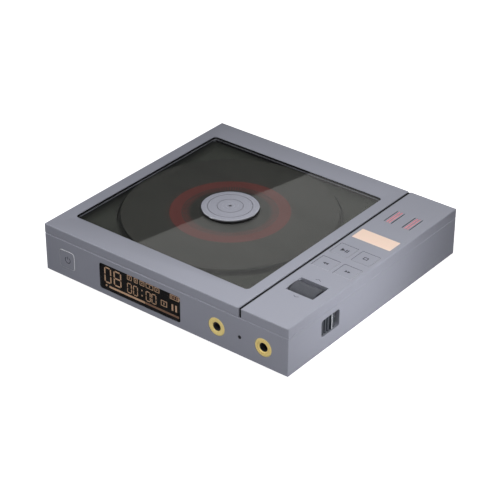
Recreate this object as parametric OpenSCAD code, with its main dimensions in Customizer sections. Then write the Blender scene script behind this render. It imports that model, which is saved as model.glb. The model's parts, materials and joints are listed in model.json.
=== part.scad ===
// Slim flat disc player that lies on a table: a metal case, a glass lid over the disc,
// a control strip on the right, and the drive, battery and boards inside.
// Millimetres. +X runs right along the front, +Y to the back, +Z up.
// The origin is the middle of the footprint, at the bottom of the feet.

/* [Body] */
// Width of the body, left to right
body_w = 165; // [162:0.5:180]
// Depth of the body, front to back
body_d = 151.5; // [151:0.5:170]
// Height of the body without its feet
body_h = 28.5; // [28:0.5:36]
// Height of the feet below the body
foot_h = 1; // [0.6:0.1:3]
// Thickness of the case walls
wall_t = 2.6; // [2.2:0.1:2.8]
// Thickness of the bottom cover
base_t = 1.6; // [1.2:0.1:2]
// Thickness of the lid and of the control strip
panel_t = 5.8; // [5.6:0.1:6.6]
// Chamfer along the outer edges
edge_c = 0.3; // [0.1:0.05:0.5]
// Radius of a foot
foot_r = 5; // [3:0.5:7]
// Distance of each foot from the two nearest faces
foot_inset = 14; // [10:0.5:20]

/* [Lid] */
// Width of the lid
lid_w = 133.7; // [133:0.1:136]
// Width of the groove between the lid and the control strip
groove_w = 1.4; // [0.8:0.1:2]
// Gap between the closed lid and the case
lid_gap = 0.15; // [0.1:0.05:0.4]
// Width of the window in the lid
window_w = 119.3; // [112:0.1:121]
// Depth of the window in the lid
window_d = 119.8; // [112:0.1:122]
// Distance of the window from the left face
window_left = 7.7; // [7:0.1:9]
// Corner radius of the window
window_r = 2.5; // [1:0.1:6]
// Thickness of the window glass
glass_t = 1; // [0.8:0.1:1.1]
// Depth of the glass below the top of the lid
glass_inset = 0.3; // [0.1:0.05:0.4]
// Width of the ledge that the glass lies on
ledge_w = 0.8; // [0.5:0.1:1.5]
// Thickness of that ledge
ledge_t = 0.8; // [0.6:0.1:0.9]
// Distance of the hinge axis from the rear face
hinge_inset = 2; // [2:0.1:2.4]
// Length of each hinge
hinge_len = 20.4; // [18:0.2:24]
// Distance of each hinge from the middle of the disc, along the width
hinge_spread = 45; // [43:0.5:47]

/* [Disc drive] */
// Radius of the disc
disc_r = 60; // [58:0.5:60]
// Middle of the disc, from the left face
disc_left = 67.35; // [67:0.05:68]
// Radius of the hole in the disc
disc_hole_r = 7.5; // [7:0.1:8]
// Thickness of the disc
disc_t = 1.2; // [1.1:0.05:1.3]
// Depth of the top of the disc below the top of the lid
disc_depth = 2.9; // [2.8:0.05:3]
// Radius of the round well in the deck
well_r = 62; // [61.5:0.5:63]
// Depth of the well below the deck
well_depth = 2.5; // [2:0.1:2.8]
// Thickness of the deck
deck_t = 1.5; // [1.2:0.1:1.8]
// Radius of the turntable
turntable_r = 15; // [12:0.5:15.5]
// Thickness of the drive's mounting plate
plate_t = 1.5; // [1:0.1:1.8]
// Radius of the spindle motor
motor_r = 12; // [9:0.5:12]
// Height of the spindle motor
motor_h = 8.3; // [6:0.1:9]
// Radius of the spindle shaft
shaft_r = 1; // [0.8:0.1:1.5]
// Radius of the rods that the pickup slides on
rod_r = 1.5; // [1:0.1:1.7]
// Distance of each rod from the middle of the disc
rod_spread = 19; // [17:0.5:21]
// Distance of the lens from the middle of the disc, at the first track
lens_inner = 24; // [23.5:0.5:26]
// Travel of the pickup
sled_travel = 34; // [28:0.5:34]
// Radius of the pickup lens
lens_r = 3.2; // [2:0.1:3.6]
// Radius of the leadscrew
leadscrew_r = 1.4; // [1:0.1:1.8]

/* [Clamp] */
// Radius of the clamp cap on top of the glass
cap_r = 16.45; // [12:0.05:18]
// Height of the clamp cap above the top of the lid
cap_rise = 0.9; // [0.6:0.05:1.5]
// Radius of the clamp hub that passes through the glass
hub_r = 11; // [9:0.5:12]
// Radius of the clamp flange under the glass
flange_r = 14.5; // [13:0.5:16]

/* [Controls] */
// Width of each key
key_w = 11.1; // [9:0.1:11.6]
// Depth of each key
key_d = 10.8; // [9:0.1:11.6]
// Distance between the two columns of keys
key_pitch_x = 13.8; // [13.6:0.1:14.2]
// Distance between the two rows of keys
key_pitch_y = 16.4; // [16.2:0.1:17.5]
// Middle of the keys, from the front face
key_y = 69.5; // [68:0.5:71]
// Travel of a key or of the power button
key_travel = 0.6; // [0.3:0.1:0.6]
// Radius of the volume roller
roller_r = 6.7; // [6:0.1:6.7]
// Width of the volume roller
roller_w = 16.6; // [12:0.1:16.8]
// Height of the roller above the top face
roller_rise = 0.9; // [0.4:0.1:1.5]
// Depth of the slot that the roller turns in
roller_slot_d = 13.7; // [13:0.1:15]
// Middle of the roller, from the front face
roller_y = 35.75; // [34:0.25:37]
// Width of the blank badge plate
badge_w = 24.5; // [18:0.5:25]
// Depth of the blank badge plate
badge_d = 10.4; // [8:0.1:11]
// Middle of the badge plate, from the front face
badge_y = 96.9; // [95:0.1:98]
// Middle of the vent slots, from the front face
vent_y = 122.6; // [120:0.1:124]
// Length of a vent slot
vent_len = 13.2; // [8:0.1:16]
// Width of a vent slot
vent_w = 0.6; // [0.4:0.1:0.9]
// Distance between neighbouring vent slots
vent_pitch = 1.55; // [1.4:0.05:1.8]
// Distance between the middles of the two valves
valve_pitch = 11.55; // [11:0.05:12]
// Radius of a valve
valve_r = 4.2; // [3:0.1:4.6]
// Width and height of the power button
power_s = 11.2; // [9:0.1:12]
// Middle of the power button, from the left face
power_x = 15.6; // [14.5:0.1:20]
// Length of the opening for the hold slider
hold_len = 15.3; // [15:0.1:16]
// Height of the opening for the hold slider
hold_h = 10; // [8:0.1:10.4]
// Middle of the hold opening, from the front face
hold_y = 35.35; // [34.5:0.05:36]
// Travel of the hold slider
hold_travel = 1.9; // [1:0.1:2]

/* [Front face] */
// Height of the middle of the front's features above the body's bottom
front_z = 11.3; // [11:0.1:12]
// Width of the display opening
display_w = 56; // [50:0.5:57]
// Height of the display opening
display_h = 15.8; // [12:0.1:16]
// Distance of the right jack from the right face
jack_inset = 15.6; // [15:0.1:16]
// Distance between the two jacks
jack_pitch = 30; // [29:0.5:31]
// Bore radius of the small jack
small_jack_r = 1.8; // [1.78:0.01:1.85]
// Bore radius of the large jack
large_jack_r = 2.25; // [2.22:0.01:2.3]
// Depth of the small jack's bore
small_jack_depth = 14.5; // [14:0.5:16]
// Depth of the large jack's bore
large_jack_depth = 19.5; // [19:0.5:21]
// Outer radius of the ring round each jack
jack_ring_r = 5.35; // [4.9:0.05:5.6]

/* [Boards and battery] */
// Thickness of the circuit boards
board_t = 1.6; // [1:0.1:2]
// Width of the battery
battery_w = 26; // [20:0.5:26]
// Length of the battery
battery_d = 90; // [70:1:95]
// Thickness of the battery
battery_t = 9; // [6:0.5:10]

/* [Hidden] */
$fn = 48;
eps = 0.01;

// Places measured from the front face, which keep their share of the depth, and from the bottom.
typical_d = 151.5;
function from_front(y) = y * body_d / typical_d - body_d / 2;
function from_base(z) = z + foot_h;

left = -body_w / 2;
right = body_w / 2;
front = -body_d / 2;
back = body_d / 2;
base_z = foot_h;
top_z = foot_h + body_h;
split_z = top_z - panel_t;

// Clearances.
slip = 0.05;
fit_gap = 0.15;
air_gap = 0.3;

// Screws, all of one size.
screw_r = 1;
screw_head_r = 1.9;
screw_head_h = 1;
cross_l = 2.2;
cross_w = 0.5;
cross_depth = 0.5;
post_r = 2.2;
base_screw_len = 6;
short_screw_len = 4;
leaf_screw_len = 3.2;
leaf_sink = 0.5;

// Lid, window and disc.
lid_right = left + lid_w;
disc_x = left + disc_left;
window_x = left + window_left + window_w / 2;
disc_top = top_z - disc_depth;
disc_low = disc_top - disc_t;
glass_top = top_z - glass_inset;
glass_low = glass_top - glass_t;
tape_t = 0.2;
ledge_top = glass_low - tape_t;
ledge_low = ledge_top - ledge_t;
rim_gap = 2.3;
cavity_left = disc_x - disc_r - rim_gap;
cavity_right = disc_x + disc_r + rim_gap;
cavity_half_d = disc_r + rim_gap;

// Hinges: the axis lies in the split, inside the rear face.
hinge_y = back - hinge_inset;
knuckle_r = hinge_inset - 0.1;
pin_r = 0.6;
knuckle_gap = 0.2;
lid_knuckle_len = 8;
leaf_t = 0.8;
leaf_d = 9;
leaf_half = hinge_len / 2;
hinge_xs = [disc_x - hinge_spread, disc_x + hinge_spread];
pocket_r = knuckle_r + air_gap;
leaf_screw_x = 6.5;
leaf_screw_y = hinge_y - 6;
shelf_d = 10;
shelf_t = 5;

// Deck, well and drive.
deck_low = split_z - deck_t;
well_floor = split_z - well_depth;
well_low = well_floor - deck_t;
well_wall = 1.2;
plate_top = well_low - 4.7;
plate_low = plate_top - plate_t;
plate_half_w = 32;
plate_front = -22;
damper_lip = 0.7;
damper_r = 4;
damper_neck_r = 3;
damper_h = plate_t + 2 * damper_lip;
felt_w = 1;
felt_t = 0.6;
post_spread = 28;
front_post_y = -17;
rear_post_y = 64;
rod_z = plate_top + 2.2;
sled_half_d = 9;
rod_start = lens_inner - sled_half_d - 4.5;
rod_end = lens_inner + sled_travel + sled_half_d + 4.5;
plate_back = rod_end + 0.5;
rod_block = 3.5;
sled_low = plate_top + air_gap;
sled_top = well_low - air_gap;
sled_half_w = rod_spread + rod_r + 2;
tower_half_w = 9;
tower_half_d = 7;
tower_top = disc_low - 2.1;
lens_top = disc_low - 1.2;
lens_h = 1.8;
lens_gap = 0.4;
lens_play = 0.5;
optics_half_w = 11.5;
optics_drop = 6;
opening_half_w = optics_half_w + 1.5;
sled_motor_r = 3.4;
sled_motor_len = 9;
screw_x = disc_x + 17;
screw_z = plate_low - sled_motor_r;
arm_w = 3;
arm_d = 4;
arm_y = lens_inner - 5;
leadscrew_start = rod_start + rod_block;
leadscrew_end = arm_y + sled_travel + 7;
thread_depth = 0.3;
thread_pitch = 3;

// Turntable and clamp.
turntable_t = 1.8;
mat_t = 0.7;
mat_inner = 9.5;
turntable_top = disc_low - mat_t;
boss_r = disc_hole_r - 0.1;
boss_top = disc_top - 0.3;
stem_r = 4;
insert_r = 5.5;
insert_t = 0.8;
cap_top = top_z + cap_rise;
cap_low = glass_top + air_gap;
cap_edge = 0.35;
hole_gap = 0.6;
pad_t = 0.3;
pad_inner = 9;
pad_low = disc_top + 0.1;
flange_t = 0.7;
clamp_magnet_r = 7.5;
clamp_magnet_h = 1.4;
spigot_r = 5;
spigot_h = 0.5;

// Control strip.
panel_left = lid_right + groove_w;
panel_mid = (panel_left + right) / 2;
control_x = panel_mid - 0.5;
skin_t = 1.6;
skin_low = top_z - skin_t;
panel_wall = 1.2;
slot_collar = 1.2;
roller_slot_w = roller_w + 0.8;
roller_z = top_z + roller_rise - roller_r;
roller_cy = from_front(roller_y);
axle_r = 1.25;
roller_ribs = 60;
rib_depth = 0.35;
roller_edge = 0.5;
ear_t = 1.5;
ear_half = 3.5;
encoder_half_d = 6;
key_cy = from_front(key_y);
key_spots = [for (y = [1, -1], x = [-1, 1])
    [control_x + x * key_pitch_x / 2, key_cy + y * key_pitch_y / 2]];
key_t = 2.6;
key_gap = 0.2;
key_r = 0.6;
key_flange = 0.7;
key_flange_t = key_t - skin_t - slip;
key_low = top_z - key_t;
switch_s = 6;
switch_h = 3;
switch_top = key_low - key_travel - 0.1;
key_board_top = switch_top - switch_h;
key_board_t = 1.2;
stem_clear = 0.05;
key_stem_r = 1.5;
key_stem_low = switch_top - 1;
key_post_y = key_pitch_y / 2 + key_d / 2 + key_flange + post_r + 0.3;
key_board_half_w = 12;
key_board_half_d = key_post_y + post_r + 0.4;
badge_t = 0.5;
badge_r = 0.6;
panel_shelf_d = 6.4;
panel_shelf_t = 2.5;
panel_shelf_half = 12.5;
panel_screw_xs = [-8.5, 4.5];
panel_screw_inset = wall_t + 3.4;
valve_len = 35;
valve_z = split_z - 5.2;
valve_wall = 0.5;
valve_xs = [control_x - valve_pitch / 2, control_x + valve_pitch / 2];
valve_start = from_front(vent_y) - valve_len / 2;
vent_count = 4;
rest_d = 4;
rest_half_w = valve_pitch / 2 + valve_r + 0.8;
rest_spread = 11;
seat_gap = 0.02;

// Front face.
front_mid = from_base(front_z);
display_x = disc_x;
display_r = 1.5;
display_glass_t = 1.2;
display_frame = 1.6;
display_depth = 6;
jack_axis_h = 3.3;
large_jack_x = right - jack_inset;
small_jack_x = large_jack_x - jack_pitch;
lamp_x = large_jack_x - jack_pitch / 2;
lamp_r = 1.05;
jack_half_w = 6.3;
jack_nose_r = 4.4;
ring_t = 0.8;
ring_hole_r = 2.55;
ring_groove_r = 3.55;
ring_groove_w = 0.4;
jack_nose_y = front + 0.4;

// Boards.
board_top = front_mid - jack_axis_h;
board_low = board_top - board_t;
board_left = disc_x + plate_half_w + 6.65;
board_right = right - wall_t - 1.4;
board_front = front + 5;
board_back = back - 5;
board_notch_w = 4.6;
board_notch_d = 7.5;
board_screws = [[board_left + 4, from_front(26)], [board_left + 4, back - 9],
                [board_right - 4, from_front(50)], [board_right - 4, from_front(92)]];
usb_w = 9;
usb_h = 3.2;
usb_d = 7.5;
usb_x = control_x;
usb_gap = 0.2;
usb_inset = 0.4;

// Blocks inside the case that take the screws.
block_w = 6.2;
narrow_w = 5.4;
mid_block_x = disc_x + plate_half_w + 3.1;
corner_screw = wall_t + 3.2;
divider_x = (lid_right + panel_left) / 2;
divider_half = 1;
divider_h = 8.1;
base_screws = [[left + corner_screw, front + corner_screw],
               [left + corner_screw, back - corner_screw],
               [mid_block_x, front + corner_screw], [mid_block_x, back - corner_screw],
               [right - wall_t - narrow_w / 2, front + corner_screw],
               [right - wall_t - narrow_w / 2, back - corner_screw]];
deck_right = divider_x - divider_half - fit_gap;
deck_screws = [for (x = [left + corner_screw, deck_right - block_w / 2], y = [-1, 1])
    [x, y * (back - corner_screw)]];
panel_screws = [for (x = panel_screw_xs, y = [-1, 1])
    [control_x + x, y * (back - panel_screw_inset)]];
key_screws = [[control_x - key_pitch_x / 2, key_cy], [control_x + key_pitch_x / 2, key_cy],
              [control_x, key_cy - key_post_y], [control_x, key_cy + key_post_y]];
post_spots = [for (x = [-1, 1], y = [front_post_y, rear_post_y]) [disc_x + x * post_spread, y]];
foot_spots = [for (x = [-1, 1], y = [-1, 1])
    [x * (right - foot_inset), y * (back - foot_inset)]];
foot_pocket = 0.6;
magnet_r = 2.5;
magnet_t = 1.6;
magnet_spots = [for (side = [-1, 1]) [disc_x + side * 36, front + wall_t + 5.4]];
magnet_wall = 1.5;

// Power button and hold slider.
power_cx = left + power_x;
power_r = 2;
power_y = front + wall_t + 0.6;
power_flange_t = 1;
power_stem_r = 1.5;
power_switch_y = power_y + power_flange_t + key_travel + 0.2;
hold_cy = from_front(hold_y);
hold_z = from_base(14);
hold_r = 1.6;
hold_flange_t = 0.6;
hold_flange_x = right - wall_t - slip;
hold_slider_len = 12;
hold_front_gap = 1.2;
hold_inset = 0.9;
hold_side_gap = 0.25;
hold_ribs = 5;
hold_base_x = hold_flange_x - hold_flange_t - slip;
hold_base_t = 1.6;

// A box from its lowest to its highest corner.
module block(low, high) {
    translate(low) cube(high - low);
}

// A box with all its edges chamfered.
module chamfered_block(low, high, c) {
    hull() {
        block(low + [c, c, 0], high - [c, c, 0]);
        block(low + [c, 0, c], high - [c, 0, c]);
        block(low + [0, c, c], high - [0, c, c]);
    }
}

// A box whose four upright edges are rounded.
module rounded_block(low, high, r) {
    block(low + [r, 0, 0], high - [r, 0, 0]);
    block(low + [0, r, 0], high - [0, r, 0]);
    for (x = [low[0] + r, high[0] - r], y = [low[1] + r, high[1] - r])
        translate([x, y, low[2]]) cylinder(r = r, h = high[2] - low[2]);
}

// A box in the front wall: its four edges along y are rounded.
module rounded_front_block(low, high, r) {
    block(low + [r, 0, 0], high - [r, 0, 0]);
    block(low + [0, 0, r], high - [0, 0, r]);
    for (x = [low[0] + r, high[0] - r], z = [low[2] + r, high[2] - r])
        rod_y([x, low[1], z], r, high[1] - low[1]);
}

// A box in the side wall: its four edges along x are rounded.
module rounded_side_block(low, high, r) {
    block(low + [0, r, 0], high - [0, r, 0]);
    block(low + [0, 0, r], high - [0, 0, r]);
    for (y = [low[1] + r, high[1] - r], z = [low[2] + r, high[2] - r])
        rod_x([low[0], y, z], r, high[0] - low[0]);
}

// Round rods along x, y and z, from a start point.
module rod_x(start, r, len) {
    translate(start) rotate([0, 90, 0]) cylinder(r = r, h = len);
}

module rod_y(start, r, len) {
    translate(start) rotate([-90, 0, 0]) cylinder(r = r, h = len);
}

module rod_z(start, r, len) {
    translate(start) cylinder(r = r, h = len);
}

// An outline in y and z, drawn out along x.
module bar_x(x0, x1, outline) {
    translate([x0, 0, 0]) rotate([90, 0, 90]) linear_extrude(x1 - x0) polygon(outline);
}

// An outline in x and z, drawn out along y.
module bar_y(y0, y1, outline) {
    translate([0, y1, 0]) rotate([90, 0, 0]) linear_extrude(y1 - y0) polygon(outline);
}

// A round washer or tube standing on its lower face.
module ring(at, outer, inner, h) {
    translate(at) difference() {
        cylinder(r = outer, h = h);
        translate([0, 0, -eps]) cylinder(r = inner, h = h + 2 * eps);
    }
}

// A screw whose head starts at the given point. It is driven down, or up from below.
module screw(at, len, up = false) {
    translate(at) rotate([up ? 180 : 0, 0, 0]) {
        difference() {
            cylinder(r = screw_head_r, h = screw_head_h);
            for (turn = [0, 90])
                rotate(turn) translate([-cross_l / 2, -cross_w / 2, screw_head_h - cross_depth])
                    cube([cross_l, cross_w, screw_head_h]);
        }
        translate([0, 0, -len]) cylinder(r = screw_r, h = len);
    }
}

// The spot [x, y] at a height.
function spot(xy, z) = [xy[0], xy[1], z];

// Case and its outer fittings.
module case_frame() {
    inner_low = [left + wall_t, front + wall_t, base_z - 1];
    inner_high = [right - wall_t, back - wall_t, split_z + 1];
    block_low = base_z + base_t;
    color("lightslategray") difference() {
        union() {
            difference() {
                chamfered_block([left, front, base_z], [right, back, split_z], edge_c);
                block(inner_low, inner_high);
            }
            case_blocks(block_low);
        }
        for (xy = base_screws)
            rod_z(spot(xy, block_low - eps), screw_r, base_screw_len - base_t + screw_head_h + eps);
        for (xy = deck_screws)
            rod_z(spot(xy, deck_low - short_screw_len), screw_r, short_screw_len + eps);
        for (xy = panel_screws)
            rod_z(spot(xy, split_z - 2 * panel_shelf_t), screw_r, 3 * panel_shelf_t);
        for (x = hinge_xs) {
            rod_x([x - leaf_half - air_gap, hinge_y, split_z], pocket_r, hinge_len + 2 * air_gap);
            for (side = [-1, 1])
                rod_z([x + side * leaf_screw_x, leaf_screw_y, split_z - lid_gap - leaf_t
                       - leaf_screw_len], screw_r, leaf_screw_len + leaf_t);
        }
        rear_case_bevel();
        for (xy = magnet_spots)
            rod_z(spot(xy, deck_low - magnet_t), magnet_r, magnet_t + eps);
        front_openings();
        side_opening();
        block([usb_x - usb_w / 2 - usb_gap, back - wall_t - 1, board_top - usb_gap],
              [usb_x + usb_w / 2 + usb_gap, back + 1, board_top + usb_h + usb_gap]);
    }
}

// Screw blocks, the divider under the groove, and the shelves on the walls.
module case_blocks(block_low) {
    for (y = [front + wall_t - eps, back - wall_t - block_w + eps]) {
        block([left + wall_t - eps, y, block_low], [left + wall_t + block_w, y + block_w, deck_low]);
        block([mid_block_x - narrow_w / 2, y, block_low],
              [mid_block_x + narrow_w / 2, y + block_w,
               y < 0 ? deck_low : split_z - shelf_t]);
        block([right - wall_t - narrow_w, y, block_low],
              [right - wall_t + eps, y + block_w, split_z - panel_shelf_t]);
        block([deck_right - block_w, y, split_z - divider_h + 1],
              [divider_x, y + block_w, deck_low]);
    }
    block([divider_x - divider_half, front + wall_t - eps, split_z - divider_h],
          [divider_x + divider_half, back - wall_t + eps, split_z]);
    for (y = [front + wall_t - eps, back - wall_t - panel_shelf_d + eps])
        block([control_x - panel_shelf_half, y, split_z - panel_shelf_t],
              [right - wall_t + eps, y + panel_shelf_d, split_z]);
    for (x = hinge_xs)
        block([x - leaf_half - 2, back - wall_t - shelf_d, split_z - shelf_t],
              [x + leaf_half + 2, back - wall_t + eps, split_z - lid_gap - leaf_t]);
    for (xy = magnet_spots)
        block([xy[0] - magnet_r - magnet_wall, front + wall_t - eps, deck_low - magnet_t - magnet_wall],
              [xy[0] + magnet_r + magnet_wall, xy[1] + magnet_r + magnet_wall, deck_low]);
}

// The rear upper edge under the lid slopes away from the hinge axis.
module rear_case_bevel() {
    reach = hinge_inset + 1;
    bar_x(left - 1, divider_x, [[hinge_y, split_z], [hinge_y + reach, split_z - reach],
                                [hinge_y + reach, split_z + 1], [hinge_y, split_z + 1]]);
}

// Openings of the front wall: button, display, jacks and charging lamp.
module front_openings() {
    y0 = front - 1;
    y1 = front + wall_t + 1;
    rounded_front_block([power_cx - power_s / 2, y0, front_mid - power_s / 2],
                        [power_cx + power_s / 2, y1, front_mid + power_s / 2], power_r);
    rounded_front_block([display_x - display_w / 2, y0, front_mid - display_h / 2],
                        [display_x + display_w / 2, y1, front_mid + display_h / 2], display_r);
    for (x = [small_jack_x, large_jack_x]) {
        rod_y([x, y0, front_mid], jack_nose_r, wall_t + 2);
        rod_y([x, y0, front_mid], jack_ring_r, 1 + ring_t);
    }
    rod_y([lamp_x, y0, front_mid], lamp_r, wall_t + 2);
}

module side_opening() {
    rounded_side_block([right - wall_t - 1, hold_cy - hold_len / 2, hold_z - hold_h / 2],
                       [right + 1, hold_cy + hold_len / 2, hold_z + hold_h / 2], hold_r);
}

module bottom_cover() {
    gap = wall_t + fit_gap;
    color("dimgray") difference() {
        union() {
            block([left + gap, front + gap, base_z], [right - gap, back - gap, base_z + base_t]);
            for (xy = board_screws)
                rod_z(spot(xy, base_z + base_t - eps), post_r, board_low - base_z - base_t + eps);
        }
        for (xy = base_screws) {
            rod_z(spot(xy, base_z - 1), screw_r, base_t + 2);
            rod_z(spot(xy, base_z - 1), screw_head_r + fit_gap, 1 + screw_head_h);
        }
        for (xy = board_screws)
            rod_z(spot(xy, board_low - short_screw_len + board_t), screw_r, short_screw_len);
        for (xy = foot_spots)
            rod_z(spot(xy, base_z - 1), foot_r, 1 + foot_pocket);
    }
}

module feet() {
    color("black") for (xy = foot_spots)
        translate(spot(xy, 0)) rotate_extrude()
            polygon([[0, 0], [foot_r - 0.5, 0], [foot_r, 0.5], [foot_r, foot_h + foot_pocket],
                     [0, foot_h + foot_pocket]]);
}

module case_screws() {
    color("silver") {
        for (xy = base_screws)
            screw(spot(xy, base_z + screw_head_h), base_screw_len, up = true);
        for (xy = deck_screws)
            screw(spot(xy, split_z - screw_head_h), deck_t - screw_head_h + short_screw_len);
        for (xy = panel_screws)
            screw(spot(xy, split_z - panel_shelf_t), panel_shelf_t + short_screw_len - 1, up = true);
        for (xy = key_screws)
            screw(spot(xy, key_board_top - key_board_t), key_board_t + short_screw_len - 1,
                  up = true);
        for (xy = board_screws)
            screw(spot(xy, board_top), short_screw_len);
        for (xy = post_spots)
            screw(spot(xy, plate_low - damper_lip), damper_h + short_screw_len - 1, up = true);
        for (x = hinge_xs, side = [-1, 1])
            leaf_screw([x + side * leaf_screw_x, leaf_screw_y, split_z - lid_gap]);
    }
}

// A flat screw sunk into a hinge leaf.
module leaf_screw(at, up = false) {
    translate(at) rotate([up ? 180 : 0, 0, 0]) {
        translate([0, 0, -leaf_sink]) difference() {
            cylinder(r = screw_head_r, h = leaf_sink);
            for (turn = [0, 90])
                rotate(turn) translate([-cross_l / 2, -cross_w / 2, leaf_sink / 2])
                    cube([cross_l, cross_w, leaf_sink]);
        }
        translate([0, 0, -leaf_t - leaf_screw_len + 0.2])
            cylinder(r = screw_r, h = leaf_screw_len + leaf_t - leaf_sink - 0.2);
    }
}

// Control strip on the right, with its slots, key holes and badge recess.
module control_panel() {
    inner = panel_wall;
    color("lightsteelblue") difference() {
        union() {
            difference() {
                chamfered_block([panel_left, front, split_z], [right, back, top_z], edge_c);
                block([panel_left + inner, front + inner, split_z - 1],
                      [right - inner, back - inner, skin_low]);
            }
            for (side = [-1, 1])
                block([control_x - roller_slot_w / 2,
                       roller_cy + side * (roller_slot_d + slot_collar) / 2 - slot_collar / 2, split_z],
                      [control_x + roller_slot_w / 2,
                       roller_cy + side * (roller_slot_d + slot_collar) / 2 + slot_collar / 2,
                       skin_low + eps]);
            for (xy = panel_screws)
                rod_z(spot(xy, split_z), post_r, skin_low - split_z + eps);
            for (xy = key_screws)
                rod_z(spot(xy, key_board_top), key_post_r(xy), skin_low - key_board_top + eps);
        }
        block([control_x - roller_slot_w / 2, roller_cy - roller_slot_d / 2, split_z - 1],
              [control_x + roller_slot_w / 2, roller_cy + roller_slot_d / 2, top_z + 1]);
        for (at = key_spots)
            key_hole(at);
        for (xy = panel_screws)
            rod_z(spot(xy, split_z - 1), screw_r, short_screw_len);
        for (xy = key_screws)
            rod_z(spot(xy, key_board_top - 1), screw_r, short_screw_len);
        rounded_block([control_x - badge_w / 2, from_front(badge_y) - badge_d / 2, top_z - badge_t],
                      [control_x + badge_w / 2, from_front(badge_y) + badge_d / 2, top_z + 1],
                      badge_r);
        for (side = [-1, 1], i = [0 : vent_count - 1])
            vent_slot(control_x + side * valve_pitch / 2 + (i - (vent_count - 1) / 2) * vent_pitch);
    }
}

// The two posts between the key rows are slimmer than the outer two.
function key_post_r(xy) = xy[1] == key_cy ? post_r - 0.3 : post_r;

module vent_slot(x) {
    rounded_block([x - vent_w / 2, from_front(vent_y) - vent_len / 2, skin_low - 1],
                  [x + vent_w / 2, from_front(vent_y) + vent_len / 2, top_z + 1], vent_w / 2 - eps);
}

module key_hole(at) {
    rounded_block([at[0] - key_w / 2 - key_gap, at[1] - key_d / 2 - key_gap, skin_low - 1],
                  [at[0] + key_w / 2 + key_gap, at[1] + key_d / 2 + key_gap, top_z + 1], key_r);
}

module badge_plate() {
    color("peachpuff")
        rounded_block([control_x - badge_w / 2, from_front(badge_y) - badge_d / 2, top_z - badge_t],
                      [control_x + badge_w / 2, from_front(badge_y) + badge_d / 2, top_z], badge_r);
}

// Two small valves lie under the vent slots.
module valve_envelopes() {
    color("mistyrose", 0.5) for (x = valve_xs)
        translate([x, valve_start, valve_z]) rotate([-90, 0, 0]) difference() {
            union() {
                cylinder(r = valve_r, h = valve_len - valve_r);
                translate([0, 0, valve_len - valve_r]) sphere(r = valve_r);
            }
            translate([0, 0, -1]) cylinder(r = valve_r - valve_wall, h = valve_len - valve_r + 1);
        }
}

// The metal stack inside each valve, on its round foot.
module valve_electrodes() {
    foot_len = 3;
    color("firebrick") for (x = valve_xs) {
        rod_y([x, valve_start, valve_z], valve_r - valve_wall - seat_gap, foot_len);
        block([x - 2.4, valve_start + foot_len - eps, valve_z - 1.2],
              [x + 2.4, valve_start + valve_len - valve_r - 4, valve_z + 1.2]);
    }
}

// Rubber rests that hold the valves above the main board.
module valve_rests() {
    color("black") for (side = [-1, 1]) difference() {
        block([control_x - rest_half_w, from_front(vent_y) + side * rest_spread - rest_d / 2, board_top],
              [control_x + rest_half_w, from_front(vent_y) + side * rest_spread + rest_d / 2, valve_z]);
        for (x = valve_xs)
            rod_y([x, from_front(vent_y) + side * rest_spread - rest_d, valve_z], valve_r + seat_gap,
                  2 * rest_d);
    }
}

module display_window() {
    color("black")
        rounded_front_block([display_x - display_w / 2 + slip, front, front_mid - display_h / 2 + slip],
                            [display_x + display_w / 2 - slip, front + display_glass_t,
                             front_mid + display_h / 2 - slip], display_r);
}

module display_module() {
    inset = display_r + 0.3;
    color("darkslategray") {
        block([display_x - display_w / 2 + inset, front + display_glass_t,
               front_mid - display_h / 2 + inset],
              [display_x + display_w / 2 - inset, front + wall_t + eps,
               front_mid + display_h / 2 - inset]);
        block([display_x - display_w / 2 - display_frame, front + wall_t, base_z + base_t],
              [display_x + display_w / 2 + display_frame, front + wall_t + display_depth,
               front_mid + display_h / 2 + display_frame / 2]);
    }
}

// A jack on the main board: a block with a round nose in the front wall and a blind bore.
module jack(x, bore_r, depth) {
    difference() {
        union() {
            block([x - jack_half_w, front + wall_t, board_top],
                  [x + jack_half_w, jack_nose_y + depth + 2, board_top + 2 * jack_axis_h]);
            rod_y([x, jack_nose_y + ring_t, front_mid], jack_nose_r, wall_t - ring_t);
            rod_y([x, jack_nose_y, front_mid], ring_hole_r - slip, wall_t);
        }
        rod_y([x, jack_nose_y - 1, front_mid], bore_r, depth + 1);
    }
}

module small_jack() {
    color("dimgray") jack(small_jack_x, small_jack_r, small_jack_depth);
}

module large_jack() {
    color("dimgray") jack(large_jack_x, large_jack_r, large_jack_depth);
}

// A turned ring round a jack's mouth, flush with the front face.
module jack_ring(x) {
    translate([x, front, front_mid]) rotate([-90, 0, 0]) difference() {
        rotate_extrude()
            polygon([[ring_hole_r, ring_t], [ring_hole_r, edge_c], [ring_hole_r + edge_c, 0],
                     [jack_ring_r - edge_c, 0], [jack_ring_r - slip, edge_c],
                     [jack_ring_r - slip, ring_t]]);
        children();
    }
}

module small_jack_ring() {
    color("gold") jack_ring(small_jack_x);
}

module large_jack_ring() {
    color("gold") jack_ring(large_jack_x)
        ring([0, 0, -eps], ring_groove_r + ring_groove_w / 2, ring_groove_r - ring_groove_w / 2,
             ring_t / 2);
}

module light_pipe() {
    color("white") {
        rod_y([lamp_x, front, front_mid], lamp_r, wall_t + 3);
        block([lamp_x - lamp_r, front + wall_t + 2.4, board_top],
              [lamp_x + lamp_r, front + wall_t + 5, front_mid + lamp_r]);
    }
}

// Boards and what stands on them.
module main_board() {
    color("darkgreen") difference() {
        block([board_left, board_front, board_low], [board_right, board_back, board_top]);
        for (y = [board_front - 1, board_back - board_notch_d])
            block([board_right - board_notch_w, y, board_low - 1],
                  [board_right + 1, y + board_notch_d + 1, board_top + 1]);
        for (xy = board_screws)
            rod_z(spot(xy, board_low - 1), screw_r, board_t + 2);
    }
}

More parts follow.
